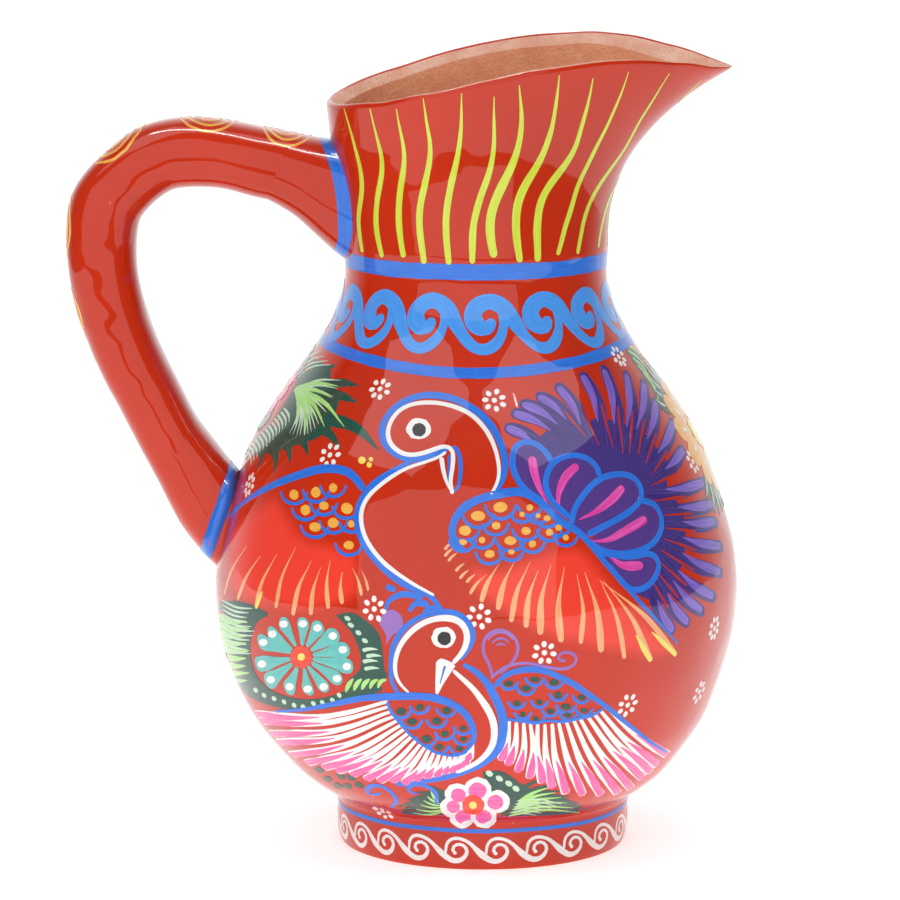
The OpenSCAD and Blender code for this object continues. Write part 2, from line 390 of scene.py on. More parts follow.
class Nodes:
    """A short way to write shader nodes."""

    def __init__(self, name):
        self.material = bpy.data.materials.new(name)
        self.material.use_nodes = True
        self.tree = self.material.node_tree
        self.tree.nodes.clear()
        self.out = self.tree.nodes.new("ShaderNodeOutputMaterial")

    def add(self, kind, inputs=(), **settings):
        node = self.tree.nodes.new(kind)
        for key, value in settings.items():
            setattr(node, key, value)
        for key, value in dict(inputs).items():
            if isinstance(value, bpy.types.NodeSocket):
                self.tree.links.new(value, node.inputs[key])
            else:
                node.inputs[key].default_value = value
        return node

    def noise(self, vector, scale, detail=3.0, rough=0.55):
        node = self.add("ShaderNodeTexNoise", {"Scale": scale, "Detail": detail, "Roughness": rough,
                                               "Vector": vector})
        return node.outputs["Fac"]

    def mix(self, factor, a, b):
        return self.add("ShaderNodeMix", {0: factor, 6: a, 7: b}, data_type="RGBA").outputs[2]

    def ramp(self, value, low, high):
        """0 below low, 1 above high, smooth between."""
        node = self.add("ShaderNodeMapRange", {"Value": value, "From Min": low, "From Max": high},
                        interpolation_type="SMOOTHSTEP")
        return node.outputs["Result"]

    def plus(self, a, b):
        return self.add("ShaderNodeMath", {0: a, 1: b}, operation="ADD").outputs[0]

    def times(self, a, b):
        return self.add("ShaderNodeMath", {0: a, 1: b}, operation="MULTIPLY").outputs[0]

    def bump(self, height, strength, distance):
        node = self.add("ShaderNodeBump", {"Height": height, "Strength": strength, "Distance": distance})
        return node.outputs["Normal"]

    def place(self):
        return self.add("ShaderNodeTexCoord").outputs["Object"]

    def mark(self, name):
        """The x, y and z of a mark that the mesh carries."""
        node = self.add("ShaderNodeAttribute", attribute_name=name)
        split = self.add("ShaderNodeSeparateXYZ", {"Vector": node.outputs["Vector"]})
        return split.outputs

    def finish(self, shader):
        self.tree.links.new(shader, self.out.inputs["Surface"])
        return self.material


def srgb(r, g, b):
    """Linear colour from 0 to 255 screen values."""
    def lin(v):
        v /= 255
        return v / 12.92 if v <= 0.04045 else ((v + 0.055) / 1.055) ** 2.4
    return (lin(r), lin(g), lin(b), 1.0)


def scaled(colour, factor):
    """A colour made darker or lighter."""
    return tuple(c * factor for c in colour[:3]) + (1.0,)


RED = srgb(203, 44, 2)
CORAL = srgb(248, 66, 48)
VARNISH = {"Coat Weight": 1.0, "Coat Roughness": 0.025, "Coat IOR": 1.48, "IOR": 1.15, "Roughness": 0.5}


def varnish_bump(n, place):
    """The slight unevenness of a brushed varnish, the same on the red ground and on the paint."""
    swell = n.noise(place, 170.0, detail=2.0)
    grain = n.noise(place, 900.0, detail=2.0)
    height = n.plus(n.times(swell, 0.8), n.times(grain, 0.12))
    return n.bump(height, 0.22, 0.0006)


def varnished(n, place, colour):
    """A shader of paint under varnish."""
    settings = {**VARNISH, "Base Color": colour, "Normal": varnish_bump(n, place)}
    return n.add("ShaderNodeBsdfPrincipled", settings).outputs[0]


def red_ground(n, place):
    """The red paint of the ground: brushed patches, darker smudges and pale specks of dust."""
    stretched = n.add("ShaderNodeMapping", {"Vector": place, "Scale": (26.0, 26.0, 9.0)})
    patches = n.ramp(n.noise(stretched.outputs["Vector"], 1.0, 5.0), 0.3, 0.75)
    colour = n.mix(patches, scaled(RED, 0.93), scaled(RED, 1.07))
    brushed = n.add("ShaderNodeMapping", {"Vector": place, "Scale": (55.0, 55.0, 900.0)})
    hairs = n.ramp(n.noise(brushed.outputs["Vector"], 1.0, 2.0), 0.58, 0.8)
    colour = n.mix(n.times(hairs, 0.10), colour, scaled(RED, 0.7))
    smudge = n.ramp(n.noise(place, 55.0, 6.0, 0.7), 0.66, 0.74)
    colour = n.mix(n.times(smudge, 0.22), colour, srgb(150, 40, 20))
    dust = n.add("ShaderNodeTexVoronoi", {"Vector": place, "Scale": 170.0, "Randomness": 1.0})
    speck = n.ramp(dust.outputs["Distance"], 0.055, 0.03)
    rare = n.ramp(n.noise(place, 40.0, 2.0), 0.56, 0.6)
    return n.mix(n.times(n.times(speck, rare), 0.8), colour, srgb(240, 170, 140))


def bare_clay(n, place, inside_shade_share):
    """A shader of rough fired clay, pale at the rim's edge and browner inside, where the browner, darker
    tone is painted shade of the mouth's hollow.
    """
    mottle = n.ramp(n.noise(place, 90.0, 6.0, 0.65), 0.3, 0.75)
    edge_tone = n.mix(mottle, srgb(232, 166, 138), srgb(248, 204, 182))
    # painted shade: a browner, darker tone for the clay inside the mouth
    shaded_inside_tone = n.mix(mottle, srgb(228, 146, 106), srgb(244, 172, 130))
    tone = n.mix(inside_shade_share, edge_tone, shaded_inside_tone)
    pale = n.ramp(n.noise(place, 420.0, 3.0, 0.7), 0.55, 0.75)
    tone = n.mix(n.times(pale, 0.4), tone, srgb(232, 186, 162))
    grains = n.add("ShaderNodeTexVoronoi", {"Vector": place, "Scale": 1100.0}).outputs["Distance"]
    height = n.plus(n.noise(place, 700.0, 4.0, 0.7), n.times(grains, 0.4))
    settings = {"Base Color": tone, "Roughness": 0.85, "Normal": n.bump(height, 0.55, 0.0008)}
    return n.add("ShaderNodeBsdfPrincipled", settings).outputs[0]


def clay_material():
    """Red varnished paint outside and bare fired clay inside, told apart by the mesh's clay mark."""
    n = Nodes("red_paint_and_clay")
    place = n.place()
    red = varnished(n, place, red_ground(n, place))
    # the mark's second share is where the inside of the mouth is painted darker, as shade
    bare_share, inside_shade_share, _ = n.mark("clay")
    clay = bare_clay(n, place, inside_shade_share)
    edge = n.plus(bare_share, n.times(n.noise(place, 130.0, 4.0), 0.5))
    both = n.add("ShaderNodeMixShader", {0: n.ramp(edge, 0.72, 0.8), 1: red, 2: clay})
    return n.finish(both.outputs[0])


GROUND_SHOWS = 0.06         # how much of the red shows where the paint is thin


def paint_material(name, colour, other):
    """Brushed paint under varnish. The stroke mark holds length along, place across and a random number."""
    n = Nodes(name)
    place = n.place()
    along, across, chance = n.mark("stroke")
    hair = n.add("ShaderNodeCombineXYZ", {"X": n.times(along, 0.09),
                                          "Y": n.times(across, 2.6),
                                          "Z": n.times(chance, 60.0)})
    streak = n.ramp(n.noise(hair.outputs[0], 1.0, 3.0), 0.35, 0.7)
    body = n.mix(streak, colour, other)
    cloud = n.ramp(n.noise(place, 210.0, 4.0, 0.6), 0.3, 0.75)
    body = n.mix(n.times(cloud, 0.25), body, scaled(colour, 0.86))
    thin = n.ramp(n.noise(place, 520.0, 3.0, 0.7), 0.5, 0.8)
    body = n.mix(n.times(thin, GROUND_SHOWS), body, RED)
    return n.finish(varnished(n, place, body))


def wash_material(name, colour):
    """A wash of brighter red that fades into the ground towards its edge, by the mesh's edge mark."""
    n = Nodes(name)
    place = n.place()
    depth = n.plus(n.mark("stroke")[0], n.times(n.noise(place, 60.0, 4.0), 1.6))
    body = n.mix(n.ramp(depth, 0.8, 6.5), red_ground(n, place), colour)
    return n.finish(varnished(n, place, body))


PAINTS = {
    "blue": ("blue_paint", srgb(40, 114, 224), srgb(54, 130, 236)),
    "light_blue": ("light_blue_paint", srgb(72, 152, 242), srgb(84, 166, 248)),
    "lime": ("lime_paint", srgb(214, 228, 66), srgb(224, 240, 96)),
    "white": ("white_paint", srgb(244, 242, 238), srgb(252, 250, 248)),
    "black": ("black_paint", srgb(28, 28, 32), srgb(44, 44, 50)),
    "peach": ("peach_paint", srgb(250, 168, 118), srgb(252, 198, 140)),
    "orange": ("orange_paint", srgb(246, 172, 66), srgb(250, 196, 88)),
    "yellow": ("yellow_paint", srgb(244, 222, 84), srgb(252, 238, 130)),
    "purple": ("purple_paint", srgb(58, 36, 120), srgb(84, 70, 150)),
    "violet": ("violet_paint", srgb(120, 90, 198), srgb(148, 120, 216)),
    "ground": ("red_paint", RED, scaled(RED, 0.94)),
    "lilac": ("violet_paint", srgb(150, 104, 186), srgb(168, 128, 204)),
    "pink": ("pink_paint", srgb(246, 84, 158), srgb(250, 130, 190)),
    "magenta": ("pink_paint", srgb(222, 56, 160), srgb(240, 110, 196)),
    "scarlet": ("coral_paint", srgb(236, 58, 36), srgb(244, 84, 52)),
    "plum": ("purple_paint", srgb(80, 50, 134), srgb(96, 70, 150)),
    "turquoise": ("turquoise_paint", srgb(88, 190, 184), srgb(116, 204, 198)),
    "dark_green": ("dark_green_paint", srgb(26, 76, 62), srgb(46, 96, 84)),
    "light_green": ("light_green_paint", srgb(162, 226, 116), srgb(186, 238, 150)),
    "pale_green": ("light_green_paint", srgb(190, 226, 192), srgb(218, 240, 218)),
}

# ---------------------------------------------------------------- clay pieces


def clay_marks(rows, bare, deep):
    """The clay mark: 1 where bare and 0 where painted, and 1 on the rows inside the mouth, which get a
    painted shade.
    """
    return [(bare(i, j), deep(i), 0.0) for i in rows for j in range(COLUMNS)]


CREST = 5.2                 # the rim's crest: how many rows into the lip
RIM_HIGHLIGHT_SWAY = 1.8            # how many rows farther the paint reaches on the far side, and sooner it ends on the near side: the pale clay left along the near crest is a painted highlight
PAINT_EDGE = 1.4            # how many rows the paint's edge takes


def make_shell_pieces(shell, material):
    """The six rings of clay over the slab, each a closed piece between outer and inner rows."""
    m = shell.mark

    def bare(i, j):
        """The rim's crest is bare clay. Paint reaches over it on the far side and ends under it on the near
        side, so the pale line along the near crest is a painted highlight.
        """
        edge = m["lip"] + CREST + RIM_HIGHLIGHT_SWAY * math.sin(TURN[j])
        return smooth((i - edge) / PAINT_EDGE + 0.5)

    # the rows inside the mouth, which the clay shader paints darker as shade
    def deep(i):
        return 1.0 if i >= m["in_strip"] else 0.0

    spans = {
        "foot_collar": [(m["collar"] - 1, m["foot_seam"] + 1), (m["in_foot"], m["floor"])],
        "lower_bowl": [(m["foot_seam"] + 1, m["high"]), (m["in_low"], m["in_foot"])],
        "upper_bowl": [(m["high"], m["neck"]), (m["in_high"], m["in_low"])],
        "neck_collar": [(m["neck"], m["mouth"]), (m["in_neck"], m["in_high"])],
        "mouth_wall": [(m["mouth"], m["strip"]), (m["in_strip"], m["in_neck"])],
        "rim_strip": [(m["strip"], m["in_strip"])],
    }
    for node, parts in spans.items():
        rows, points, normals = shell.take(*parts)
        faces = grid_faces(len(rows), COLUMNS, closed=True)
        seams = {parts[0][1] - parts[0][0], len(rows) - 1}
        flat = {f for f in range(len(faces)) if f // COLUMNS in seams}
        obj = make_piece(node + "_clay", points, faces, material, normals, flat, "red_paint",
                         "clay", clay_marks(rows, bare, deep))
        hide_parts(node)


def make_base_slab(shell, material):
    """The slab: painted round its edge, bare under the foot and on the floor inside."""
    m = shell.mark
    rows, points, normals = shell.take((0, m["collar"] - 1), (m["floor"], len(shell.rows) - 1))
    faces = grid_faces(len(rows), COLUMNS)
    flat = {f for f in range(len(faces)) if f // COLUMNS == m["collar"] - 1}
    points += [Vector((0, 0, 0)), Vector((0, 0, SLAB_H))]
    normals += [Vector((0, 0, -1)), Vector((0, 0, 1))]
    first, second = len(points) - 2, len(points) - 1
    end = (len(rows) - 1) * COLUMNS
    for j in range(COLUMNS):
        k = (j + 1) % COLUMNS
        faces.append((k, j, first))
        faces.append((end + j, end + k, second))

    def under(i, _):
        return 1.0 if i < m["edge"] + 2 or i >= m["floor"] else 0.0

    marks = clay_marks(rows, under, lambda i: 0.0) + [(1.0, 0.0, 0.0)] * 2
    obj = make_piece("base_slab_clay", points, faces, material, normals, flat, "bare_clay", "clay", marks)
    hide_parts("base_slab")


class Skin:
    """A surface to paint on, from grids of points and normals. It finds the nearest point or the first
    one along a ray."""

    def __init__(self, grids):
        self.points, self.normals, faces = [], [], []
        for rows, normals in grids:
            start = len(self.points)
            self.points += flat_list(rows)
            self.normals += flat_list(normals)
            faces += [tuple(start + v for v in f) for f in grid_faces(len(rows), len(rows[0]))]
        self.faces = []
        for a, b, c, d in faces:
            self.faces += [(a, b, c), (a, c, d)]
        self.tree = BVHTree.FromPolygons(self.points, self.faces)

    def normal(self, spot, index):
        a, b, c = self.faces[index]
        n = geometry.barycentric_transform(
            spot, self.points[a], self.points[b], self.points[c],
            self.normals[a], self.normals[b], self.normals[c])
        return n.normalized()

    def nearest(self, p):
        spot, _, index, _ = self.tree.find_nearest(p)
        return spot, self.normal(spot, index)

    def hit(self, start, direction):
        spot, _, index, _ = self.tree.ray_cast(start, direction)
        return spot

    def outside(self, p):
        spot, normal = self.nearest(p)
        return (p - spot).dot(normal) > 0


# ---------------------------------------------------------------- handle

STRAP_SIDES = 48
STRAP_ROWS = 190
STRAP_SQUARE = 0.76         # 1 is an oval strap, less is squarer
HALF_W = 13.0
COIL_ROWS = 30
COIL_INNER_ROWS = 10
COIL_SIDE = 4.5             # how much a coil widens the strap to each side at the wall
COIL_DEEP = 1.2             # how far a coil's inside is sunk into the strap
COIL_CURVE = 1.4            # how late a coil widens on its way to the wall
COIL_TUCK = 0.3             # how far a coil's thin end lies under the strap's face
COIL_THIN_X = -62.0         # where the upper coil starts on the strap
COIL_WALL_X = -38.0         # where it meets the wall
UPPER_SHIFT = (0, -5.6)     # how far a coil's middle moves off the strap's, in x and z, at the wall
UPPER_SPREAD = 6.2          # how much it thickens the strap there
LOWER_SHIFT = (5.3, 2.8)
LOWER_SPREAD = 6.0
LOWER_START = (-94.3, 128.3)    # where the lower coil starts on the strap, in x and z
SUNK = 1.4                  # how deep the handle's ends reach into the wall
HALVINGS = 12               # steps in the search for the place where a line leaves the wall
GRIP_SWELLS = ((17.0, 0.35), (6.5, 0.1))    # the hand-made swells of the strap: size and depth
GRIP_INSET = 0.3            # how far in its face lies, so that they stay inside the CAD part
STATIONS = [(*place, HALF_W) for place in (     # x, z and half the thickness; half the width
    (-24, 198, 11), (-38, 199.8, 11.2), (-50, 202.4, 10.9), (-62, 204.7, 11.1), (-73, 207.1, 10.7),
    (-84, 208.1, 11.1), (-94, 206.7, 11.2), (-103.1, 200.6, 11.1), (-109.6, 192.7, 11.4),
    (-111.5, 182, 11.2), (-110.6, 170, 10.8), (-107.1, 156.2, 10.6), (-101.4, 142.2, 10.3),
    (-94.3, 128.3, 10.1), (-87.2, 115, 10.4), (-80.2, 102, 10.6), (-72.5, 91.5, 10), (-63, 83, 9.6),
    (-52, 77, 9.2),
)]


def strap_point(row, heading, a):
    """A point of the strap's section at a place of its path, at an angle from its outer side."""
    def eased(v):
        return math.copysign(abs(v) ** STRAP_SQUARE, v)
    h = (row[2] - SKIN) * eased(math.cos(a))
    p = Vector((row[0] - heading.y * h, (row[3] - SKIN) * eased(math.sin(a)), row[1] + heading.x * h))
    dent = sum(depth * noise.noise(p / size) for size, depth in GRIP_SWELLS) - GRIP_INSET
    return p + Vector((-heading.y * math.cos(a), math.sin(a), heading.x * math.cos(a))) * dent


def strap_lines(rows, path):
    """One line along the strap for each place round its section."""
    lines = [[] for _ in range(STRAP_SIDES)]
    for i, row in enumerate(rows):
        v = path[min(i + 1, len(path) - 1)] - path[max(i - 1, 0)]
        heading = Vector((v.x, v.y)).normalized()
        for j in range(STRAP_SIDES):
            lines[j].append(strap_point(row, heading, -2 * math.pi * j / STRAP_SIDES))
    return lines


def from_wall(line, shell_skin):
    """The line from a little inside the wall outwards, cut where it leaves the wall."""
    k = next(i for i, p in enumerate(line) if shell_skin.outside(p))
    inner, outer = line[k - 1], line[k]
    for _ in range(HALVINGS):
        middle = (inner + outer) / 2
        if shell_skin.outside(middle):
            outer = middle
        else:
            inner = middle
    along = (line[k] - line[k - 1]).normalized()
    return [inner - along * SUNK, inner] + line[k:]


def lines_to_rows(lines, count):
    """Rows round the strap from lines along it, each cut into the same number of steps."""
    cut = [resample(line, count=count) for line in lines]
    return [[line[i] for line in cut] for i in range(count + 1)]


def widened(row, u, shift, spread):
    """A strap row widened for a coil: u is 0 at the coil's thin end and 1 at the wall."""
    g = max(u, 0.0) ** COIL_CURVE
    tuck = -COIL_TUCK * (1 - min(g, 1.0))
    return Vector((row[0] + shift[0] * g, row[1] + shift[1] * g, row[2] + tuck + spread * g,
                   row[3] + tuck + COIL_SIDE * g))


def close_tube(name, rows, normals, material, node):
    """A tube with flat ends."""
    faces = grid_faces(len(rows), STRAP_SIDES)
    flat = {len(faces), len(faces) + 1}
    faces.append(tuple(range(STRAP_SIDES))[::-1])
    faces.append(tuple((len(rows) - 1) * STRAP_SIDES + j for j in range(STRAP_SIDES)))
    obj = make_piece(name, flat_list(rows), faces, material, flat_list(normals), flat, "red_paint")
    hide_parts(node)


def close_sleeve(name, outer, inner, normals, material, node):
    """A sleeve between outer rows and inner rows."""
    rows = outer + inner[::-1]
    zero = [Vector((0, 0, 0))] * (len(inner) * STRAP_SIDES)
    faces = grid_faces(len(rows), STRAP_SIDES, closed=True)
    flat = set(range((len(outer) - 1) * STRAP_SIDES, len(faces)))
    obj = make_piece(name, flat_list(rows), faces, material, flat_list(normals) + zero, flat, "red_paint")
    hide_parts(node)


def make_handle(shell_skin, material):
    """The strap and its two coils. Returns the grids of their outer faces."""
    rows = spline(STATIONS, spacing=1.6)
    lines = [from_wall(line, shell_skin) for line in strap_lines(rows, rows)]
    lines = [from_wall(line[::-1], shell_skin)[::-1] for line in lines]
    grid = lines_to_rows(lines, STRAP_ROWS)
    normals = row_normals(grid)
    close_tube("handle_clay", grid, normals, material, "handle")
    grids = [(grid, normals)]
    top = [r for r in rows if r[0] >= COIL_THIN_X and r[1] > NECK_Z]
    run = COIL_WALL_X - COIL_THIN_X
    wide = [widened(r, (r[0] - COIL_THIN_X) / run, UPPER_SHIFT, UPPER_SPREAD) for r in top]
    foot = [r for r in rows if r[1] < LOWER_START[1] and r[0] > LOWER_START[0]][::-1]
    low = [widened(r, 1 - i / (len(foot) - 1), LOWER_SHIFT, LOWER_SPREAD)
           for i, r in enumerate(foot)]
    grids.append(make_coil("upper", top, wide, 1, shell_skin, material))
    grids.append(make_coil("lower", foot, low, -1, shell_skin, material))
    return grids


def make_coil(name, path, wide, order, shell_skin, material):
    """The coil round an end of the strap, from its widened rows. Returns the grid of its outer face."""
    outer = lines_to_rows([from_wall(q, shell_skin) for q in strap_lines(wide, path)], COIL_ROWS)
    shrunk = [Vector((r[0], r[1], r[2] - COIL_DEEP, r[3] - COIL_DEEP)) for r in path]
    inner = lines_to_rows([from_wall(q, shell_skin) for q in strap_lines(shrunk, path)], COIL_INNER_ROWS)
    outer, inner = outer[::order], inner[::order]
    normals = row_normals(outer)
    close_sleeve(name + "_coil_clay", outer, inner, normals, material, name + "_joint_coil")
    return outer, normals


# ---------------------------------------------------------------- canvases: flat places to the clay

PITCH = math.atan2(EYE.z - AIM.z, -EYE.y)
UP = Vector((0.0, math.sin(PITCH), math.cos(PITCH)))
FAR_OUT = 200               # farther from the axis than any clay


def sheet(mirror):
    """The upright sheet seen from the front (mirror 1) or, turned round, from the back (-1)."""
    def place(x, z):
        target = AIM + Vector((x - AIM.x, 0, 0)) + UP * (z - AIM.z)
        start = Vector((EYE.x, mirror * EYE.y, EYE.z))
        target.y *= mirror
        return SHELL_SKIN.hit(start, (target - start).normalized())
    return place


def wrap(angle, z):
    """The place at an angle round the pitcher (degrees, 0 in front, 90 at the spout) and a height."""
    a = math.radians(angle)
    away = Vector((math.sin(a), -math.cos(a), 0))
    return SHELL_SKIN.hit(away * FAR_OUT + Vector((0, 0, z)), -away)


def band(angle, radius):
    """A strip round the pitcher: distance along it from an angle, and height."""
    return lambda x, z: wrap(angle + math.degrees(x / radius), z)


def patch(spot, turn=0.0):
    """A flat patch touching the clay at a spot."""
    centre, normal = SHELL_SKIN.nearest(spot)
    right = Vector((0, 0, 1)).cross(normal).normalized()
    up = normal.cross(right)
    c, s = math.cos(turn), math.sin(turn)

    def place(u, v):
        return SHELL_SKIN.nearest(centre + right * (u * c - v * s) + up * (u * s + v * c))[0]
    return place


# ---------------------------------------------------------------- painting

PAINT_H = 0.05              # the first layer's height over the clay
LAYER_H = 0.03              # how much higher each next layer is
UNEVEN_H = 0.018            # how much strokes of one layer differ in height
SINK = 0.15                 # how far a stroke's underside is inside the clay
HAND_SWAY = 0.22            # how far the hand wanders from the line
SWAY_SIZE = 9               # over which length it does
HAND_SWELL = 0.10           # how much the width of a stroke wanders
SWELL_SIZE = 6              # over which length it does
POINT_STEP = 0.8            # between places along a drawn line
SECTION_STEP = 1.1          # between sections of a stroke
THINNEST = 0.06             # no section is narrower
SHORTEST = 0.3              # a shorter stroke is left out
ROUND_END = (0, 0.12, 0.45)     # where the sections of a round end stand, as shares of its length
SMALL_DOT = 2.4             # a dot up to this size takes fewer points round its edge
LARGE_DOT = 4.2             # a dot from this size takes more rings, to follow the curved clay
SEED = 5
BRUSHES = []
CHANCE = random.Random(SEED)
noise.seed_set(SEED)


def width_of(spec):
    """A width along a stroke from one number, or from several spread evenly from start to end."""
    if isinstance(spec, (int, float)):
        return lambda t: spec
    last = len(spec) - 1
    return lambda t: lookup(t, [(k / last, w) for k, w in enumerate(spec)])


def section_stops(total, first, last, loop):
    """Where along a stroke its sections stand: first and last are the lengths of its round ends."""
    steps = max(2, round((total - first - last) / SECTION_STEP))
    if loop:
        return [total * k / steps for k in range(steps)]
    middle = [first + (total - first - last) * k / steps for k in range(steps + 1)]
    return [first * f for f in ROUND_END] + middle + [total - last * f for f in ROUND_END[::-1]]


def rounded(w, s, length):
    """The width of a stroke at a distance from its end, where the round end has the given length."""
    return w * math.sqrt(max(1 - (1 - s / length) ** 2, 0)) if s < length else w


class Brush:
    """One piece of painting: the strokes, dots and areas of one colour that lie in one layer."""

    def __init__(self, name, paint, layer, skin=None):
        self.name, self.paint, self.layer = name, paint, layer
        self.skin = skin or SHELL_SKIN
        self.points, self.normals, self.faces, self.marks = [], [], [], []
        self.flat = set()
        BRUSHES.append(self)

    def height(self):
        return PAINT_H + LAYER_H * self.layer + CHANCE.uniform(0, UNEVEN_H)

    def put(self, spot, normal, height, mark):
        self.points.append(spot + normal * height)
        self.normals.append(normal)
        self.marks.append(mark)
        return len(self.points) - 1

    def face(self, vertices, flat=False):
        if flat:
            self.flat.add(len(self.faces))
        self.faces.append(vertices)

    def stroke(self, canvas, path, width, soft=4):
        """A brush stroke through the canvas places of a path. A gap parts it where the canvas ends."""
        line = spline(path, spacing=POINT_STEP)
        for _ in range(soft):
            line[1:-1] = [(a + 2 * b + c) / 4 for a, b, c in zip(line, line[1:], line[2:])]
        shift = CHANCE.uniform(0, 50)
        runs = [[]]
        for i, p in enumerate(line):
            sway = noise.noise_vector(Vector((p.x / SWAY_SIZE, p.y / SWAY_SIZE, shift))) * HAND_SWAY
            spot = canvas(p.x + sway.x, p.y + sway.y)
            if spot is None:
                runs.append([])
            else:
                runs[-1].append(Vector((*spot, i / (len(line) - 1))))
        for run in runs:
            if len(run) > 2:
                self.ribbon(run, width_of(width))

    def ribbon(self, line, width, loop=False):
        """A low strip along (x, y, z, t) points, rounded at both ends unless it is a loop."""
        along = lengths_along(line)
        total = along[-1]
        if total < SHORTEST:
            return
        first, last = width(line[0].w) / 2, width(line[-1].w) / 2
        squeeze = min(1.0, 0.49 * total / max(first, last, 0.01))
        first, last = first * squeeze, last * squeeze
        height, chance = self.height(), CHANCE.random()
        rows = []
        k = 0
        for s in section_stops(total, first, last, loop):
            while k < len(line) - 2 and along[k + 1] < s:
                k += 1
            span = max(along[k + 1] - along[k], TINY)
            p = line[k].lerp(line[k + 1], min(max((s - along[k]) / span, 0), 1))
            ahead = line[min(k + 2, len(line) - 1)] - line[max(k - 1, 0)]
            if loop and (k < 1 or k > len(line) - 3):
                ahead = line[(k + 2) % (len(line) - 1)] - line[k - 1 if k else -2]
            w = width(p.w)
            if not loop:
                w = rounded(rounded(w, s, first), total - s, last)
            w = max(w * (1 + HAND_SWELL * noise.noise(Vector((s / SWELL_SIZE, chance * 90, 3)))), THINNEST)
            rows.append(self.section(p.xyz, ahead.xyz, w, s, height, chance))
        self.join(rows, loop)

    def section(self, centre, ahead, w, s, height, chance):
        """The points of one section: five over the clay, then two under it."""
        spot, normal = self.skin.nearest(centre)
        side = ahead.cross(normal).normalized()
        row = []
        for k in range(5):
            off = (k / 4 - 0.5) * w
            q, n = self.skin.nearest(spot + side * off)
            row.append(self.put(q, n, height, (s, off, chance)))
            if k in (0, 4):
                row.append(self.put(q, n, -SINK, (s, off, chance)))
        return [row[0], row[2], row[3], row[4], row[5], row[6], row[1]]

    def join(self, rows, loop):
        """Faces between the sections: four on top, the two sides and the underside."""
        count = len(rows)
        for i in range(count if loop else count - 1):
            a, b = rows[i], rows[(i + 1) % count]
            for k in range(7):
                m = (k + 1) % 7
                self.face((a[k], a[m], b[m], b[k]), flat=k > 3)
        if not loop:
            self.face(tuple(rows[0][::-1]), flat=True)
            self.face(tuple(rows[-1]), flat=True)

    def dot(self, canvas, x, z, w, h=None, turn=0.0):
        """A round or oval dot."""
        h = h or w
        height, chance = self.height(), CHANCE.random()
        count = 12 if max(w, h) < SMALL_DOT else 20
        wobble = [1 + CHANCE.uniform(-0.05, 0.05) for _ in range(count)]
        c, s = math.cos(turn), math.sin(turn)
        rings = []
        shares = (0.55, 1.0) if max(w, h) < LARGE_DOT else (0.25, 0.5, 0.75, 1.0)
        for share, up in [(share, height) for share in shares] + [(1.0, -SINK)]:
            ring = []
            for k in range(count):
                a = 2 * math.pi * k / count
                u, v = w / 2 * math.cos(a) * share * wobble[k], h / 2 * math.sin(a) * share * wobble[k]
                spot = canvas(x + u * c - v * s, z + u * s + v * c)
                if spot is None:
                    return
                q, n = self.skin.nearest(spot)
                ring.append(self.put(q, n, up, (u, v, chance)))
            rings.append(ring)
        outward = self.turned(rings[-2])
        for inner, outer in zip(rings, rings[1:]):
            for k in range(count):
                m = (k + 1) % count
                quad = (inner[k], outer[k], outer[m], inner[m])
                self.face(quad if outward else quad[::-1], flat=outer is rings[-1])
        top, under = tuple(rings[0]), tuple(rings[-1][::-1])
        self.face(top if outward else top[::-1])
        self.face(under if outward else under[::-1], flat=True)

    def turned(self, ring):
        """Whether the ring of points runs anticlockwise seen from outside."""
        a, b, c = (self.points[ring[k * len(ring) // 3]] for k in range(3))
        return (b - a).cross(c - a).dot(self.normals[ring[0]]) > 0

    def area(self, canvas, outline, step=2.0):
        """A filled shape. Its mark tells how far each place is from the edge."""
        edge = spline(list(outline) + [outline[0]], spacing=1.0)[:-1]
        loop = [(k, (k + 1) % len(edge)) for k in range(len(edge))]
        places = edge + inner_places(edge, step)
        places, _, triangles, _, _, _ = geometry.delaunay_2d_cdt(places, loop, [], 1, 1e-5)
        height = self.height()
        top, under = [], []
        for p in places:
            q, n = self.skin.nearest(nearest_shown(canvas, p))
            mark = (min((p - r).length for r in edge), p.x, p.y)
            top.append(self.put(q, n, height, mark))
            under.append(self.put(q, n, -SINK, mark))
        self.fill(triangles, top, under)

    def fill(self, triangles, top, under):
        """The triangles over and under an area, and the faces down its edge."""
        outward = self.turned([top[v] for v in triangles[len(triangles) // 2]])
        used = {}
        for t in triangles:
            t = t if outward else t[::-1]
            self.face(tuple(top[v] for v in t))
            self.face(tuple(under[v] for v in t[::-1]), flat=True)
            for a, b in zip(t, t[1:] + t[:1]):
                used[(a, b)] = True
        for a, b in used:
            if (b, a) not in used:
                self.face((top[b], top[a], under[a], under[b]), flat=True)

    def finish(self):
        slot = PAINTS[self.paint][0] if self.paint in PAINTS else "coral_paint"
        make_piece(self.name, self.points, self.faces, painted(self.paint), self.normals,
                   self.flat, slot, "stroke", self.marks)


def inner_places(edge, step):
    """Places on a staggered grid inside an edge."""
    low, high = ([pick(p[k] for p in edge) for k in (0, 1)] for pick in (min, max))
    places = []
    for i in range(int((high[0] - low[0]) / step) + 1):
        for j in range(int((high[1] - low[1]) / step) + 1):
            p = Vector((low[0] + step * (i + 0.5 * (j % 2)), low[1] + step * (j + 0.3)))
            if is_inside(p, edge) and min((p - q).length for q in edge) > 0.45 * step:
                places.append(p)
    return places


def nearest_shown(canvas, p):
    """A place on a canvas. One past its edge moves towards the middle until it is on the clay."""
    spot = canvas(p.x, p.y)
    reach = p.x
    while spot is None and abs(reach) > 1:
        reach -= math.copysign(0.4, reach)
        spot = canvas(reach, p.y)
    return spot


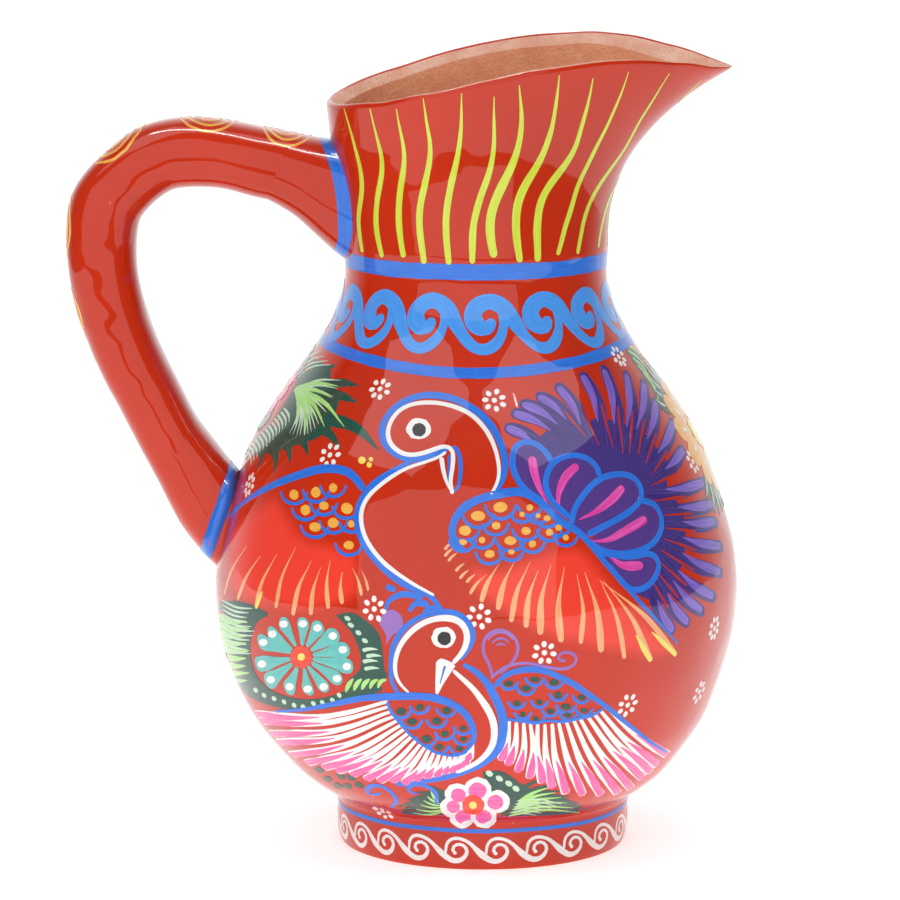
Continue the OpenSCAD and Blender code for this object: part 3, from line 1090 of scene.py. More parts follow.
def is_inside(p, edge):
    """Whether a ray from the place crosses the edge an odd number of times."""
    inside = False
    for a, b in zip(edge, edge[1:] + edge[:1]):
        if (a.y > p.y) != (b.y > p.y) and p.x < a.x + (p.y - a.y) * (b.x - a.x) / (b.y - a.y):
            inside = not inside
    return inside


MADE = {}


def painted(paint):
    """The material of a paint, made when it is first used."""
    if paint == "coral" and paint not in MADE:
        MADE[paint] = wash_material("coral_wash", CORAL)
    if paint not in MADE:
        MADE[paint] = paint_material(paint + "_brushed", *PAINTS[paint][1:])
    return MADE[paint]


def arc(x, z, rx, rz, start, end, count=7):
    """Places along an ellipse from one angle to another, degrees from +x turning to +z."""
    steps = [math.radians(start + (end - start) * k / (count - 1)) for k in range(count)]
    return [(x + rx * math.cos(a), z + rz * math.sin(a)) for a in steps]


def drop(width, blunt=0.72):
    """The width along a petal or feather mark that starts thin and ends full."""
    return (0.12 * width, 0.45 * width, 0.8 * width, width, blunt * width)


def bowed(start, end, bow):
    """A slightly curved line from start to end: bow is how far its middle stands to the left."""
    (x0, z0), (x1, z1) = start, end
    return [start, ((x0 + x1) / 2 - (z1 - z0) * bow, (z0 + z1) / 2 + (x1 - x0) * bow), end]


# ---------------------------------------------------------------- neck, bands and foot

FRIEZE_UNITS = 15
FRIEZE_START = 4.0          # degrees
FRIEZE_R = 43.5
FRIEZE_Z = 160.5
FRIEZE = [                  # one wave of the frieze, from the heart of its head to its tail: x, z, width
    (1.2, 3.0, 2.6), (1.2, 1.2, 4.4), (-0.6, -0.1, 5.8), (-3.0, 0.7, 5.1), (-4.7, 3.2, 4.6),
    (-3.2, 6.3, 4.7), (1.0, 7.9, 5.0), (5.4, 6.0, 4.4), (8.3, 2.0, 3.5), (11.3, -2.3, 3.3),
    (14.8, -5.4, 3.5), (18.7, -5.4, 3.5), (22.2, -2.0, 2.8), (23.3, 2.4, 2.2), (21.6, 6.8, 1.2),
]
FOOT_UNITS = 23
FOOT_START = -12            # degrees
FOOT_SCROLL = [             # one white scroll of the foot: x, z, width
    (0, 4.9, 0.7), (0.5, 8.3, 0.9), (3, 9.7, 1.0), (6.8, 8.6, 1.0), (10.8, 5.0, 1.2), (14.6, 2.8, 1.9),
    (17.6, 3.7, 1.7), (18.6, 6.2, 1.5), (16.8, 8.0, 1.1), (14.6, 7.4, 0.9), (14.2, 5.8, 0.9),
    (15.4, 4.9, 1.1),
]
BANDS = [                   # the blue bands: height, width, how much higher under the spout and the handle
    (176.8, 4.7, 0), (148.7, 3.5, 4.6), (12.0, 1.2, 0),
]
BAND_SWAY = 0.3             # how far a band wanders up and down


def paint_bands():
    """The blue bands, the wave frieze round the neck and the white scrolls round the foot."""
    blue = Brush("neck_bands", "blue", 1)
    for z, w, lift in BANDS:
        ring = []
        for a in range(0, 361, 2):
            c, s = math.cos(math.radians(a)), math.sin(math.radians(a))
            sway = BAND_SWAY * noise.noise(Vector((c, s, z)) * 2) + lift * s * s
            ring.append(Vector((*wrap(a, z + sway), a / 360)))
        blue.ribbon(ring, width_of(w), loop=True)
    frieze = Brush("neck_frieze", "light_blue", 1)
    for k in range(FRIEZE_UNITS):
        canvas = band(FRIEZE_START + k * 360 / FRIEZE_UNITS, FRIEZE_R)
        frieze.stroke(canvas, [(x, FRIEZE_Z + z) for x, z, _ in FRIEZE], [w for _, _, w in FRIEZE])
    scroll = Brush("foot_scrolls", "white", 1)
    for k in range(FOOT_UNITS):
        canvas = band(k * 360 / FOOT_UNITS + FOOT_START, FOOT_R)
        scroll.stroke(canvas, [(x, z) for x, z, _ in FOOT_SCROLL], [w for _, _, w in FOOT_SCROLL], soft=1)


FLAMES = [                  # the flames up the neck, each from its root to its tip
    ((-34.1, 177.8), (-35.3, 186), (-35.1, 192), (-33.9, 198), (-36.8, 211.5), (-39.6, 221)),
    ((-28.1, 176.3), (-30, 184.5), (-30, 192), (-27.6, 204), (-29.6, 211.5), (-31.8, 221)),
    ((-21.6, 176.3), (-23.1, 184.5), (-23.3, 192), (-21.3, 205.5), (-22.5, 213), (-23.9, 221)),
    ((-15.6, 174.3), (-16.8, 184.5), (-16.8, 192), (-13.5, 207), (-14.6, 216), (-15.9, 224)),
    ((-8.1, 174), (-8.9, 183), (-9, 190.5), (-5.1, 208.5), (-4.5, 217.5), (-4.4, 225.5)),
    ((-1.1, 174.3), (-1.1, 184.5), (0.5, 192), (5.1, 205.5), (5.4, 216), (5.4, 224.5)),
    ((5.4, 176.3), (3.9, 184.5), (5, 192), (12.2, 207), (13.7, 216), (12.9, 228)),
    ((13.2, 174.8), (11.7, 187.5), (13.2, 195), (21, 209), (24, 222), (24.9, 231)),
    ((18.5, 175), (18.5, 187.5), (20, 195), (28.9, 207), (33, 220), (35.2, 230)),
    ((24.5, 177), (27.5, 187.5), (31.2, 199.5), (38, 213), (43, 224), (45.7, 232)),
    ((30.5, 177.3), (32, 186), (35, 195), (44, 208), (52, 222), (58, 231.5)),
    ((36.8, 179.3), (38, 187.5), (41, 196.5), (50, 210), (60, 222), (67.5, 229.5)),
]
FLAME_W = (2.0, 2.0, 2.0, 2.0, 2.0, 2.0, 2.6, 2.4, 2.4, 1.7, 1.7, 1.7)


def paint_flames(side):
    """The lime flames up one side of the neck, thick at the root and thin at the tip."""
    lime = Brush(side.name + "_neck_flames", "lime", 1)
    for w, path in zip(FLAME_W, FLAMES):
        lime.stroke(side.canvas, path, (0.85 * w, w, w, 0.95 * w, 0.7 * w, 0.45 * w, 0.12 * w), soft=40)


def paint_end_flames():
    """The flames under the spout, which the two sides leave free, and the short ones under the handle."""
    lime = Brush("spout_flames", "lime", 1)
    for angle in (84, 96):
        sway = (angle - 90) * 0.1
        path = [(angle, 180), (angle - 1.5, 186), (angle + sway, 193), (angle - sway, 201)]
        lime.stroke(wrap, path, (1.6, 1.9, 1.6, 0.9, 0.25))
    short = Brush("handle_flames", "lime", 1)
    for angle in (-69, -79, -90, -101, -111):
        short.stroke(wrap, [(angle, 180), (angle - 1.5, 183.5), (angle + 1, 187.5)], (1.7, 1.8, 0.9, 0.2))


# ---------------------------------------------------------------- birds


class Side:
    """The front or the back of the pitcher, with its own brushes."""

    def __init__(self, name, mirror):
        self.name, self.canvas = name, sheet(mirror)
        self.brushes = {}

    def brush(self, name, paint, layer):
        key = self.name + "_" + name
        if key not in self.brushes:
            self.brushes[key] = Brush(key, paint, layer)
        return self.brushes[key]


BIG_HEAD = [
    (6, 106.5), (8.2, 110), (8.8, 115), (7.5, 120.5), (4.5, 126), (0, 130.5), (-6, 133.6), (-13, 134.9),
    (-18, 134.5), (-24, 131.5), (-27.8, 126.5), (-27.8, 121.5), (-25.5, 118.3), (-21.5, 116),
    (-18, 115.5), (-12, 117.3), (-8.5, 118.8),
]
BIG_FACE = [
    (4.5, 105.2), (6.5, 109), (6.8, 114), (5.5, 119.5), (2.5, 125), (-2, 129.5), (-8, 132), (-14, 132.8),
    (-19.5, 132.2), (-24, 129.5), (-26.3, 125), (-26, 121), (-23.5, 118.2), (-20, 117), (-15, 117.8),
    (-11, 119.2), (-8.5, 119.6), (-7, 118.5), (-7, 114), (-7.6, 109), (-7, 105.3),
]
BIG_CHEST = [
    (-12.5, 75), (-20, 79), (-27, 84), (-32, 90), (-34.3, 96), (-34, 101), (-31.5, 105.5), (-27, 109.5),
    (-21, 113), (-15, 115), (-11, 116.5), (-9, 118),
]
BIG_CHEST_BLUE = [
    (-10.5, 70.5), (-12.5, 73.5), (-15, 75.5), (-22, 78.8), (-28, 83.5), (-33.3, 90), (-35.6, 96.5),
    (-35, 102), (-32, 107), (-27, 111), (-21, 114.3), (-19, 115.5),
]


def paint_big_bird(side):
    """The big bird's head, beak, eye and chest."""
    at = side.canvas
    blue = side.brush("big_bird_outline", "blue", 3)
    blue.stroke(at, BIG_HEAD, (1.6, 2.0, 2.2, 2.2, 2.2, 2.1, 1.9, 1.3))
    blue.stroke(at, BIG_CHEST_BLUE, (1.2, 2.2, 2.2, 2.2, 2.0, 1.4))
    blue.stroke(at, [(-7, 119.5), (-6.2, 119.5), (-4.8, 116), (-4.7, 111), (-5.5, 106.8), (-6.5, 106)],
                (1.0, 1.3, 1.3, 0.6))
    blue.stroke(at, [(-8, 117), (-8.2, 109)], (0.9, 0.4))
    white = side.brush("big_bird_lining", "white", 4)
    white.stroke(at, BIG_FACE, (0.8, 1.3, 1.3, 1.3, 1.3, 1.1))
    white.stroke(at, BIG_CHEST, (0.7, 1.2, 1.3, 1.3, 1.0, 0.8))
    white.stroke(at, [(-10.5, 116.3), (-9.8, 112), (-8.5, 108), (-7, 105.3)], (1.4, 1.2, 0.9, 0.3))
    eye(side, "big_bird", -17.2, 124.8, 3.7, 3.2)
    curls = side.brush("big_bird_curls", "blue", 2)
    for path in ([(-16, 74), (-22, 75.5), (-26.5, 73), (-27, 70.5)], [(-14, 72), (-18, 73), (-20, 70)],
                 [(-10, 71), (-14, 71), (-16, 69.5)], [(-27, 77.5), (-24, 76.5)]):
        curls.stroke(at, path, (1.9, 1.8, 1.1))


def eye(side, bird, x, z, w, h):
    """A white eye of the given half width and half height, with a black pupil."""
    side.brush(bird + "_eye_white", "white", 4).dot(side.canvas, x, z, 2 * w, 2 * h)
    side.brush(bird + "_pupil", "black", 5).dot(side.canvas, x + 0.2, z - 0.3, 4.1, 4.1)


BIG_RIGHT_TOP = [
    (-3.5, 88.2), (-6.2, 90.5), (-7.2, 94.5), (-6, 98.5), (-3, 101.8), (1, 103.8), (5, 105), (10, 106),
    (15, 105.6), (20.3, 102), (25.4, 97), (30, 94.4), (34.2, 90.3), (39.3, 84.1), (45.5, 76.9),
    (50.7, 71.2), (55.8, 65.6), (60.5, 60.4),
]
BIG_RIGHT_DOTS = [
    (7.3, 101.3, 4.2, 3.2), (0.6, 98.7, 4.3, 3), (16.1, 101.2, 2, 2), (13.8, 99.2, 1.6, 1.6),
    (18.6, 98.8, 1.5, 1.5), (21.3, 98, 2.2, 1.8), (24.8, 95.2, 2, 2), (-3.3, 94.3, 3.6, 3),
    (6, 95.8, 2.6, 2.4), (15, 94.2, 2.8, 2.4), (22, 93.8, 2.2, 2.2), (26.9, 92.2, 1.8, 1.8),
    (-4, 90.8, 2.6, 1.8), (1.8, 91.5, 2, 2), (10.3, 91.3, 3.6, 2.6), (16.9, 90.3, 2.2, 2.2),
    (4.1, 87.3, 3, 2.4), (10.6, 87.9, 2, 1.6),
]
BIG_RIGHT_MARKS = [
    ((2.2, 80), (-1.8, 75.2), 1), ((5.8, 82), (1.5, 72.8), 1.6), ((10.5, 82), (6.5, 70.5), 1.8),
    ((15.2, 81.5), (10.5, 66.8), 1.8), ((18, 79), (15, 65.2), 2), ((21.8, 80), (19.2, 63), 2.2),
    ((26.3, 79), (25.5, 60.8), 2.3), ((30.5, 77), (31.5, 60.3), 1.8), ((33.5, 77), (37.5, 57.8), 2.4),
    ((38.5, 75), (44.5, 56), 1.8),
]
BIG_GOLD = [((41, 74.5), (52.5, 55.3), 2), ((42, 74.5), (60, 57), 2), ((-61, 84), (-66, 71), 1.7)]
BIG_RIGHT_NICKS = [(-8.4, 90), (-8.5, 88), (-7.3, 86.5), (-5.2, 83.5), (-3.8, 81.3), (-1.8, 80)]
BIG_RIGHT_WASH = [
    (-2, 86), (6, 84.5), (16, 88), (28, 91.5), (35, 88.5), (42, 80), (52, 69), (61, 60), (60, 56.5),
    (52, 54.5), (42, 55.5), (30, 58.5), (18, 62), (8, 67.5), (-1, 74), (-4, 80),
]
BIG_LEFT_TOP = [
    (-33.5, 106.5), (-35.5, 109.5), (-38.5, 112), (-43, 112.9), (-48, 112.5), (-54, 110.6),
    (-60, 108.3), (-66, 105.3), (-71, 101.5), (-75, 97.3), (-77.5, 94.5),
]
BIG_LEFT_DOTS = [
    (-54.5, 105.1, 2.6, 3), (-48, 105.8, 2.8, 3.3), (-42.8, 107.1, 2.3, 2.8), (-51.1, 100.5, 2.8, 3.2),
    (-45.6, 101.8, 2.8, 2.5), (-38.7, 101, 3.4, 3.4), (-48.2, 95.4, 3.4, 2.8), (-42.8, 96.6, 3.2, 3),
    (-37.4, 96.3, 2, 2.2), (-38.1, 89.9, 3, 2.6),
]
BIG_LEFT_WASH = [
    (-33, 88), (-42, 92), (-50, 94), (-55, 101), (-60, 106.5), (-68, 102.5), (-75.5, 95), (-77, 86),
    (-75, 75), (-66, 70.5), (-54, 68.5), (-44, 69.5), (-34, 74),
]
BIG_LEFT_MARKS = [
    ((-76, 85), (-77.8, 80), 1), ((-70, 87), (-75.5, 75.3), 1.4), ((-66, 84), (-71.5, 73.6), 1.7),
    ((-55.3, 85.5), (-60, 71), 1.6), ((-50.5, 82), (-55, 69), 1.8), ((-47, 80.5), (-49.5, 69), 1.7),
    ((-43.8, 82.5), (-44.3, 71), 1.6), ((-40, 80), (-40.2, 72.3), 1.6), ((-36.5, 81.5), (-34.3, 74.8), 1.1),
    ((-34, 81.5), (-32.3, 76.3), 0.9),
]


def scales(side, name, dots, paint, radius):
    """Dots, each in a blue U like a fish scale."""
    marks = side.brush(name + "_dots", paint, 3)
    lines = side.brush(name + "_scales", "blue", 2)
    for x, z, w, h in dots:
        marks.dot(side.canvas, x, z, w, h)
        reach = radius * (0.72 + 0.11 * w)
        lines.stroke(side.canvas, arc(x, z + 0.5, reach, reach * 0.85, 175, 365), (0.7, 1.0, 1.0, 0.7))


def marks_along(brush, canvas, marks, bow=0.06):
    """Feather marks that start as a hair a little before their given start and end full."""
    for (x0, z0), (x1, z1), w in marks:
        start = (x0 + 0.25 * (x0 - x1), z0 + 0.25 * (z0 - z1))
        brush.stroke(canvas, bowed(start, (x1, z1), bow if x1 > x0 else -bow),
                     (0.06 * w, 0.2 * w, 0.48 * w, 0.82 * w, w, 0.7 * w))


def paint_big_wings(side):
    """The big bird's two wings: a wash of coral, a blue upper edge, scales and feather marks."""
    at = side.canvas
    wash = side.brush("big_bird_wing_wash", "coral", 0)
    wash.area(at, BIG_RIGHT_WASH)
    wash.area(at, BIG_LEFT_WASH)
    line = side.brush("big_bird_wing_lines", "blue", 4)
    line.stroke(at, BIG_RIGHT_TOP, (1.8, 2.3, 2.5, 2.5, 2.2, 1.8, 1.4, 1.1, 0.6))
    line.stroke(at, BIG_LEFT_TOP, (2.2, 2.6, 2.6, 2.2, 1.6, 0.7))
    scales(side, "big_bird_right_wing", BIG_RIGHT_DOTS, "orange", 4.0)
    scales(side, "big_bird_left_wing", BIG_LEFT_DOTS, "orange", 4.0)
    peach = side.brush("big_bird_wing_marks", "peach", 2)
    marks_along(peach, at, BIG_RIGHT_MARKS)
    marks_along(peach, at, BIG_LEFT_MARKS)
    for x, z in BIG_RIGHT_NICKS:
        peach.stroke(at, [(x + 1.6, z + 1.1), (x, z), (x - 1, z - 1.4)], (0.2, 0.8, 0.9))
    gold = side.brush("big_bird_wing_gold", "yellow", 3)
    for start, end, w in BIG_GOLD:
        marks_along(peach, at, [(start, end, w)])
        gold.stroke(at, [between(start, end, 0.6), end], (0.3, 0.8 * w, 0.7 * w))


PETALS = [
    ([(20.2, 102.3), (14.9, 106.4), (11.6, 111.2), (10.8, 115.3), (11.9, 119.5), (14.9, 121),
      (18.5, 120), (21.4, 117.1), (22.6, 114.7)], [(21.5, 102.5), (19, 107), (17.5, 112), (16.8, 116.5)]),
    ([(28, 98.1), (22.6, 103.4), (20.8, 107.6), (21.1, 111.2), (23.2, 114.7), (26.8, 116.5),
      (30.3, 116.8), (33.9, 115.6), (36.6, 112.9), (36.9, 110.6)],
     [(25.5, 99.5), (24.5, 104), (26.5, 110), (30.5, 114)]),
    ([(28.5, 96.3), (29.4, 100.5), (31.8, 104.6), (35.7, 108.8), (39.8, 110.9), (44.6, 111.2),
      (48.1, 109.4), (49.6, 106.4), (49.3, 103.4), (45.7, 99.9), (39.8, 96.3), (33.3, 93.1)],
     [(31, 97.5), (36, 100), (41, 104), (44, 107.5)]),
    ([(49.3, 103.4), (53.5, 102.3), (55.5, 98.7), (55.5, 94.5), (53.5, 91), (49.9, 88.6),
      (44.6, 87.4), (39.8, 87.7), (36.3, 89.2), (33.9, 91)],
     [(34, 91.3), (39.5, 91.5), (46, 95), (51, 98)]),
    ([(37.4, 87.7), (41, 87.1), (46.9, 86.5), (51.7, 87.7), (54.4, 85.6), (54.6, 82.7), (52.9, 79.1),
      (49.9, 76.7), (46.3, 76.5), (43.4, 79.4), (39.8, 83.9)], [(39.5, 87.3), (44, 84), (50, 84)]),
]
FEATHERS = [
    ((22, 118), (8.5, 125.5)), ((28, 121.5), (10.5, 130)), ((30, 123), (13, 132.8)),
    ((31.5, 124), (18, 135.3)), ((35, 120), (24, 138.5)), ((39, 120), (31.5, 142)),
    ((43, 118), (38, 144)), ((45, 117), (45, 142.3)), ((47, 118), (50.5, 139.5)),
    ((50, 116), (54, 134)), ((52, 113), (59.5, 127.5)), ((54, 110), (62.5, 119)),
    ((51, 105.5), (69, 109)), ((55.5, 101), (71.5, 102.5)), ((57, 97), (72.5, 97)),
    ((56.5, 93.5), (74, 89.5)), ((56, 90.5), (74, 81.5)), ((55, 86.5), (72, 74)),
    ((54.5, 84), (68.5, 69.5)), ((54, 80), (64, 66)), ((52, 78), (59.5, 63.5)),
]


def paint_tail_fan(side):
    """The fanned tail: rounded petals in the middle and long feathers round them."""
    at = side.canvas
    middles = [between(root, tip, 0.36) for root, tip in FEATHERS]
    mass = side.brush("tail_mass", "purple", 0)
    mass.area(at, [(18, 118)] + middles[:12] + [(50, 104), (30, 112)])
    mass.area(at, [(50, 106)] + middles[11:] + [(46, 78), (50, 92)])
    slit = side.brush("tail_slits", "ground", 2)
    for (a, b), (c, d) in zip(FEATHERS[3:], FEATHERS[4:]):
        path = [between(between(a, b, share), between(c, d, share), 0.5) for share in (0.0, 0.3, 0.55)]
        slit.stroke(at, path, (0.2, 0.5, 0.8, 0.5))
    purple = side.brush("tail_feathers", "purple", 1)
    violet = side.brush("tail_feather_lights", "violet", 2)
    for root, tip in FEATHERS:
        purple.stroke(at, bowed(root, tip, -0.08), (2.2, 3.2, 4.2, 4.6, 3.4))
        light = bowed(between(root, tip, 0.32), between(root, tip, 0.95), -0.06)
        violet.stroke(at, light, (0.3, 1.3, 2.4, 2.8, 2.0))
    fill = side.brush("tail_petals", "plum", 3)
    rim = side.brush("tail_petal_rims", "blue", 5)
    pink = side.brush("tail_petal_lights", "magenta", 4)
    for outline, light in PETALS:
        fill.area(at, outline)
        rim.stroke(at, outline, 1.8)
        pink.stroke(at, light, drop(2.7, 0.85))


SMALL_HEAD = [
    (-4.5, 55.5), (-2, 59), (-0.8, 62.5), (-1.8, 66), (-5, 69.3), (-10, 70), (-15.5, 69), (-21, 65.5),
    (-24.8, 60), (-25.3, 54), (-25, 48.5), (-22.8, 45.2),
]
SMALL_FACE = [
    (-7, 54.5), (-4, 58), (-2.6, 62), (-3.2, 65), (-5.5, 67.5), (-10, 68.2), (-15, 67), (-20, 63.5),
    (-23.2, 59), (-24.3, 53.5), (-23.2, 49), (-20.3, 45.8),
]
SMALL_CHEST = [
    (-6.8, 52.5), (-3, 49), (1, 44.5), (4, 40), (5.5, 35), (5, 30), (2, 26), (-2, 23.5), (-6, 22),
]
SMALL_CHEST_BLUE = [
    (-4, 54), (-1, 52.5), (3, 49), (6, 44), (8, 38.5), (8, 33), (6, 28), (1, 24), (-5, 21.5),
    (-12, 19.8), (-18, 18.8), (-24, 18.2),
]
SMALL_BEAK = [(-12, 54.7), (-10.5, 56), (-7, 54.6), (-6.2, 53.5), (-7, 52.6), (-9.5, 48.8), (-12, 45.2)]
SMALL_LEFT_TOP = [
    (-60, 40), (-50, 41), (-42, 42.6), (-34, 44), (-26, 44.5), (-20, 44.6), (-14, 44.3), (-8.5, 43),
    (-4, 40.3), (-1.2, 36.5), (-0.5, 33), (-1, 30.5),
]
SMALL_LEFT_EDGE = [
    (-26.5, 43), (-26, 40.5), (-24, 38), (-21.5, 35), (-19, 32.5), (-16.5, 30.5), (-12.5, 28),
    (-8, 26.9), (-5, 27), (-2.5, 28.5), (-1, 30.5),
]
SMALL_LEFT_DOTS = [
    (-22.5, 40.1, 3, 2.2), (-16.8, 41.3, 2.4, 2), (-8.8, 40.4, 2.8, 2.2), (-19.2, 37, 3, 2),
    (-11.8, 37.2, 2.8, 2.2), (-3.9, 35, 2.2, 1.6), (-14.8, 31.8, 3.2, 2.2), (-9.3, 33.4, 2.4, 1.8),
    (-3.8, 31.8, 2.2, 1.4), (-11, 29.4, 2.4, 1.8), (-5, 29, 2.4, 1.6),
]
SMALL_LEFT_TIPS = [
    (-66, 39.3), (-64.5, 37.3), (-61.5, 33.5), (-59.5, 30.8), (-55.5, 27.2), (-51, 24.6), (-46, 23.2),
    (-42, 22), (-37.5, 21), (-33.3, 19.7), (-29.3, 19), (-25.5, 19), (-21.8, 18.2), (-18.3, 19.4),
    (-15, 20), (-12, 20.3), (-9.5, 21.3), (-7.5, 21.8), (-6, 22.3), (-4.5, 23), (-3.3, 24), (-2.5, 25.5),
]
SMALL_RIGHT_TOP = [
    (5.5, 47.5), (8, 50.5), (12, 52.2), (17, 52.7), (22, 51.8), (28, 49), (34, 45), (40, 40.6),
    (46, 35.8), (52, 31), (57, 28),
]
SMALL_RIGHT_DOTS = [
    (9.8, 48.4, 2.8, 1.8), (17.6, 49.7, 3, 1.6), (23.4, 48.8, 2.8, 2), (14.9, 47, 3, 1.8),
    (24.6, 45, 2.4, 2), (31.7, 44.3, 2.4, 1.6), (12.3, 42.5, 2.2, 1.8), (19, 42.9, 2, 1.6),
    (27, 41.5, 3, 1.8), (14, 39.2, 1.8, 1.6), (17.9, 38, 2, 1.4), (22.3, 40.2, 2.2, 1.6),
    (27.5, 39, 2.4, 1.6), (32.4, 40.4, 2.2, 1.4),
]
SMALL_RIGHT_EDGE = [(8.5, 38), (13, 37.3), (18, 36.8), (22, 37.5), (26, 36.8), (31, 38), (35, 39), (38, 41)]
SMALL_RIGHT_ROOTS = [(10, 37.3), (16, 36.5), (23, 36.5), (30, 38), (35, 39.5), (39, 41.5)]
SMALL_RIGHT_TIPS = [
    (7.5, 25.3), (9.5, 23.8), (12.5, 21.8), (16, 20), (20, 18.5), (23, 17), (27, 15.5), (32, 15),
    (37.5, 15), (42.5, 15.5), (46.5, 17), (50, 20), (52.5, 22), (54.5, 24), (57.5, 27),
]


def paint_small_bird(side):
    """The small bird's head, beak, eye and chest, and the curls at its feet."""
    at = side.canvas
    blue = side.brush("small_bird_outline", "blue", 3)
    blue.stroke(at, SMALL_HEAD, (1.0, 1.6, 1.7, 1.6, 1.6, 1.5, 1.0))
    blue.stroke(at, SMALL_CHEST_BLUE, (1.2, 2.2, 2.5, 2.6, 2.4, 2.2, 1.8, 1.8))
    white = side.brush("small_bird_lining", "white", 4)
    white.stroke(at, SMALL_FACE, (1.2, 1.7, 1.9, 1.6, 1.4, 1.2, 0.7))
    white.stroke(at, SMALL_CHEST, (1.0, 1.8, 2.0, 1.8, 1.2))
    white.area(at, SMALL_BEAK, step=1.2)
    eye(side, "small_bird", -9.7, 62.3, 3.6, 3.2)
    side.brush("small_bird_beak_line", "blue", 5).stroke(at, [(-9.3, 53.8), (-10.8, 48.5)], (0.7, 0.3))
    curls = side.brush("small_bird_curls", "blue", 2)
    curls.stroke(at, [(-28.5, 15.5), (-32, 14.8), (-33, 17), (-29.5, 18), (-25.5, 16), (-23.3, 13),
                      (-25.5, 11.3)], (0.8, 1.6, 1.7, 1.0))
    curls.stroke(at, [(-17.5, 15.5), (-20, 16), (-20.8, 17.5), (-18, 18.5), (-14, 17.5), (-11.5, 15),
                      (-12, 12.5)], (0.8, 1.6, 1.7, 1.0))


def between(start, end, share):
    """The place a share of the way from start to end."""
    return (start[0] + share * (end[0] - start[0]), start[1] + share * (end[1] - start[1]))


def evenly(path, count):
    """Equally spaced places along a path."""
    return [(p.x, p.y) for p in spline(path, count=count - 1)]


def feather_row(side, name, roots, tips, white_w, pink_w):
    """White feathers from the wing's edge to their tips, each with a pink end."""
    white = side.brush(name + "_feathers", "white", 2)
    pink = side.brush(name + "_feather_tips", "pink", 3)
    for (x0, z0), (x1, z1) in zip(evenly(roots, len(tips)), tips):
        path = bowed((x0, z0), (x1, z1), 0.07 if x1 < x0 else -0.05)
        white.stroke(side.canvas, path, [share * white_w for share in (0.3, 0.45, 0.62, 0.88, 0.9)])
        start = between(path[1], (x1, z1), 0.05)
        pink.stroke(side.canvas, bowed(start, (x1, z1), 0.03), drop(pink_w, 0.9))


def paint_small_wings(side):
    """The small bird's two wings, with rows of white and pink feathers."""
    at = side.canvas
    line = side.brush("small_bird_wing_lines", "blue", 4)
    line.stroke(at, SMALL_LEFT_TOP, (0.8, 1.2, 1.7, 2.1, 2.4, 2.4, 2.2, 1.4))
    line.stroke(at, SMALL_RIGHT_TOP, (1.4, 1.9, 1.8, 1.5, 1.2, 0.8))
    line.stroke(at, SMALL_LEFT_EDGE, 0.9)
    line.stroke(at, SMALL_RIGHT_EDGE, 0.9)
    scales(side, "small_bird_left_wing", SMALL_LEFT_DOTS, "dark_green", 3.0)
    scales(side, "small_bird_right_wing", SMALL_RIGHT_DOTS, "dark_green", 2.8)
    feather_row(side, "small_bird_left_wing", SMALL_LEFT_EDGE, SMALL_LEFT_TIPS, 3.0, 2.3)
    feather_row(side, "small_bird_right_wing", SMALL_RIGHT_ROOTS, SMALL_RIGHT_TIPS, 3.1, 2.4)


def paint_doodles(side):
    """The lilac drop, curl and patch round the small bird."""
    at = side.canvas
    lilac = side.brush("doodles", "lilac", 1)
    lilac.stroke(at, [(5, 50.5), (4, 54), (2, 58), (3, 62.5), (7, 64.5), (11, 63), (12.8, 59), (11, 55),
                      (7, 51.5)], 0.9)
    for reach in (1.6, 3.0, 4.4):
        lilac.stroke(at, arc(7.4, 59, reach, 1.15 * reach, 30, 150, 5), (0.4, 0.8, 0.4))
    lilac.stroke(at, [(4.5, 50), (9, 53.5), (15, 54.7), (21, 53.5), (27, 52.8), (30, 54.5), (30, 57),
                      (27, 58), (24.5, 57), (24.8, 55.2), (27, 55.3)], 0.9)
    lilac.area(at, [(-27, 60), (-27, 63), (-29, 67), (-27, 70), (-24.5, 70.5), (-22, 68), (-22.5, 64.5),
                    (-25, 63)])


# ---------------------------------------------------------------- flowers and leaves

TURQUOISE_TIPS = [
    (-51.8, 68.3), (-46.5, 66.8), (-41.3, 63.8), (-38, 59), (-36.8, 53.2), (-40, 49), (-44.5, 46),
    (-50, 45), (-56.5, 45.8), (-63, 48.5), (-66, 54), (-65.5, 61.5), (-62.5, 64.5), (-58.5, 68),
]


TURQUOISE_CENTRE = (-52.3, 56.5)


def paint_turquoise_flower(side):
    """A flower of club-shaped petals, each with a white spot at its tip."""
    at = side.canvas
    cx, cz = TURQUOISE_CENTRE
    petals = side.brush("turquoise_flower_petals", "turquoise", 3)
    spots = side.brush("turquoise_flower_spots", "white", 4)
    for x, z in TURQUOISE_TIPS:
        reach = math.hypot(x - cx, z - cz)
        ux, uz = (x - cx) / reach, (z - cz) / reach
        petals.stroke(at, [(cx + ux * 3.4, cz + uz * 3.4), (cx + ux * reach, cz + uz * reach)],
                      (1.1, 2.0, 3.2, 4.8, 4.9))
        spots.dot(at, cx + ux * (reach - 1.9), cz + uz * (reach - 1.9), 2.5, 2.2)
    side.brush("turquoise_flower_heart", "scarlet", 4).dot(at, cx, cz, 6.6, 6.8)
    side.brush("turquoise_flower_eye", "yellow", 5).dot(at, cx, cz, 2.2, 2.3)


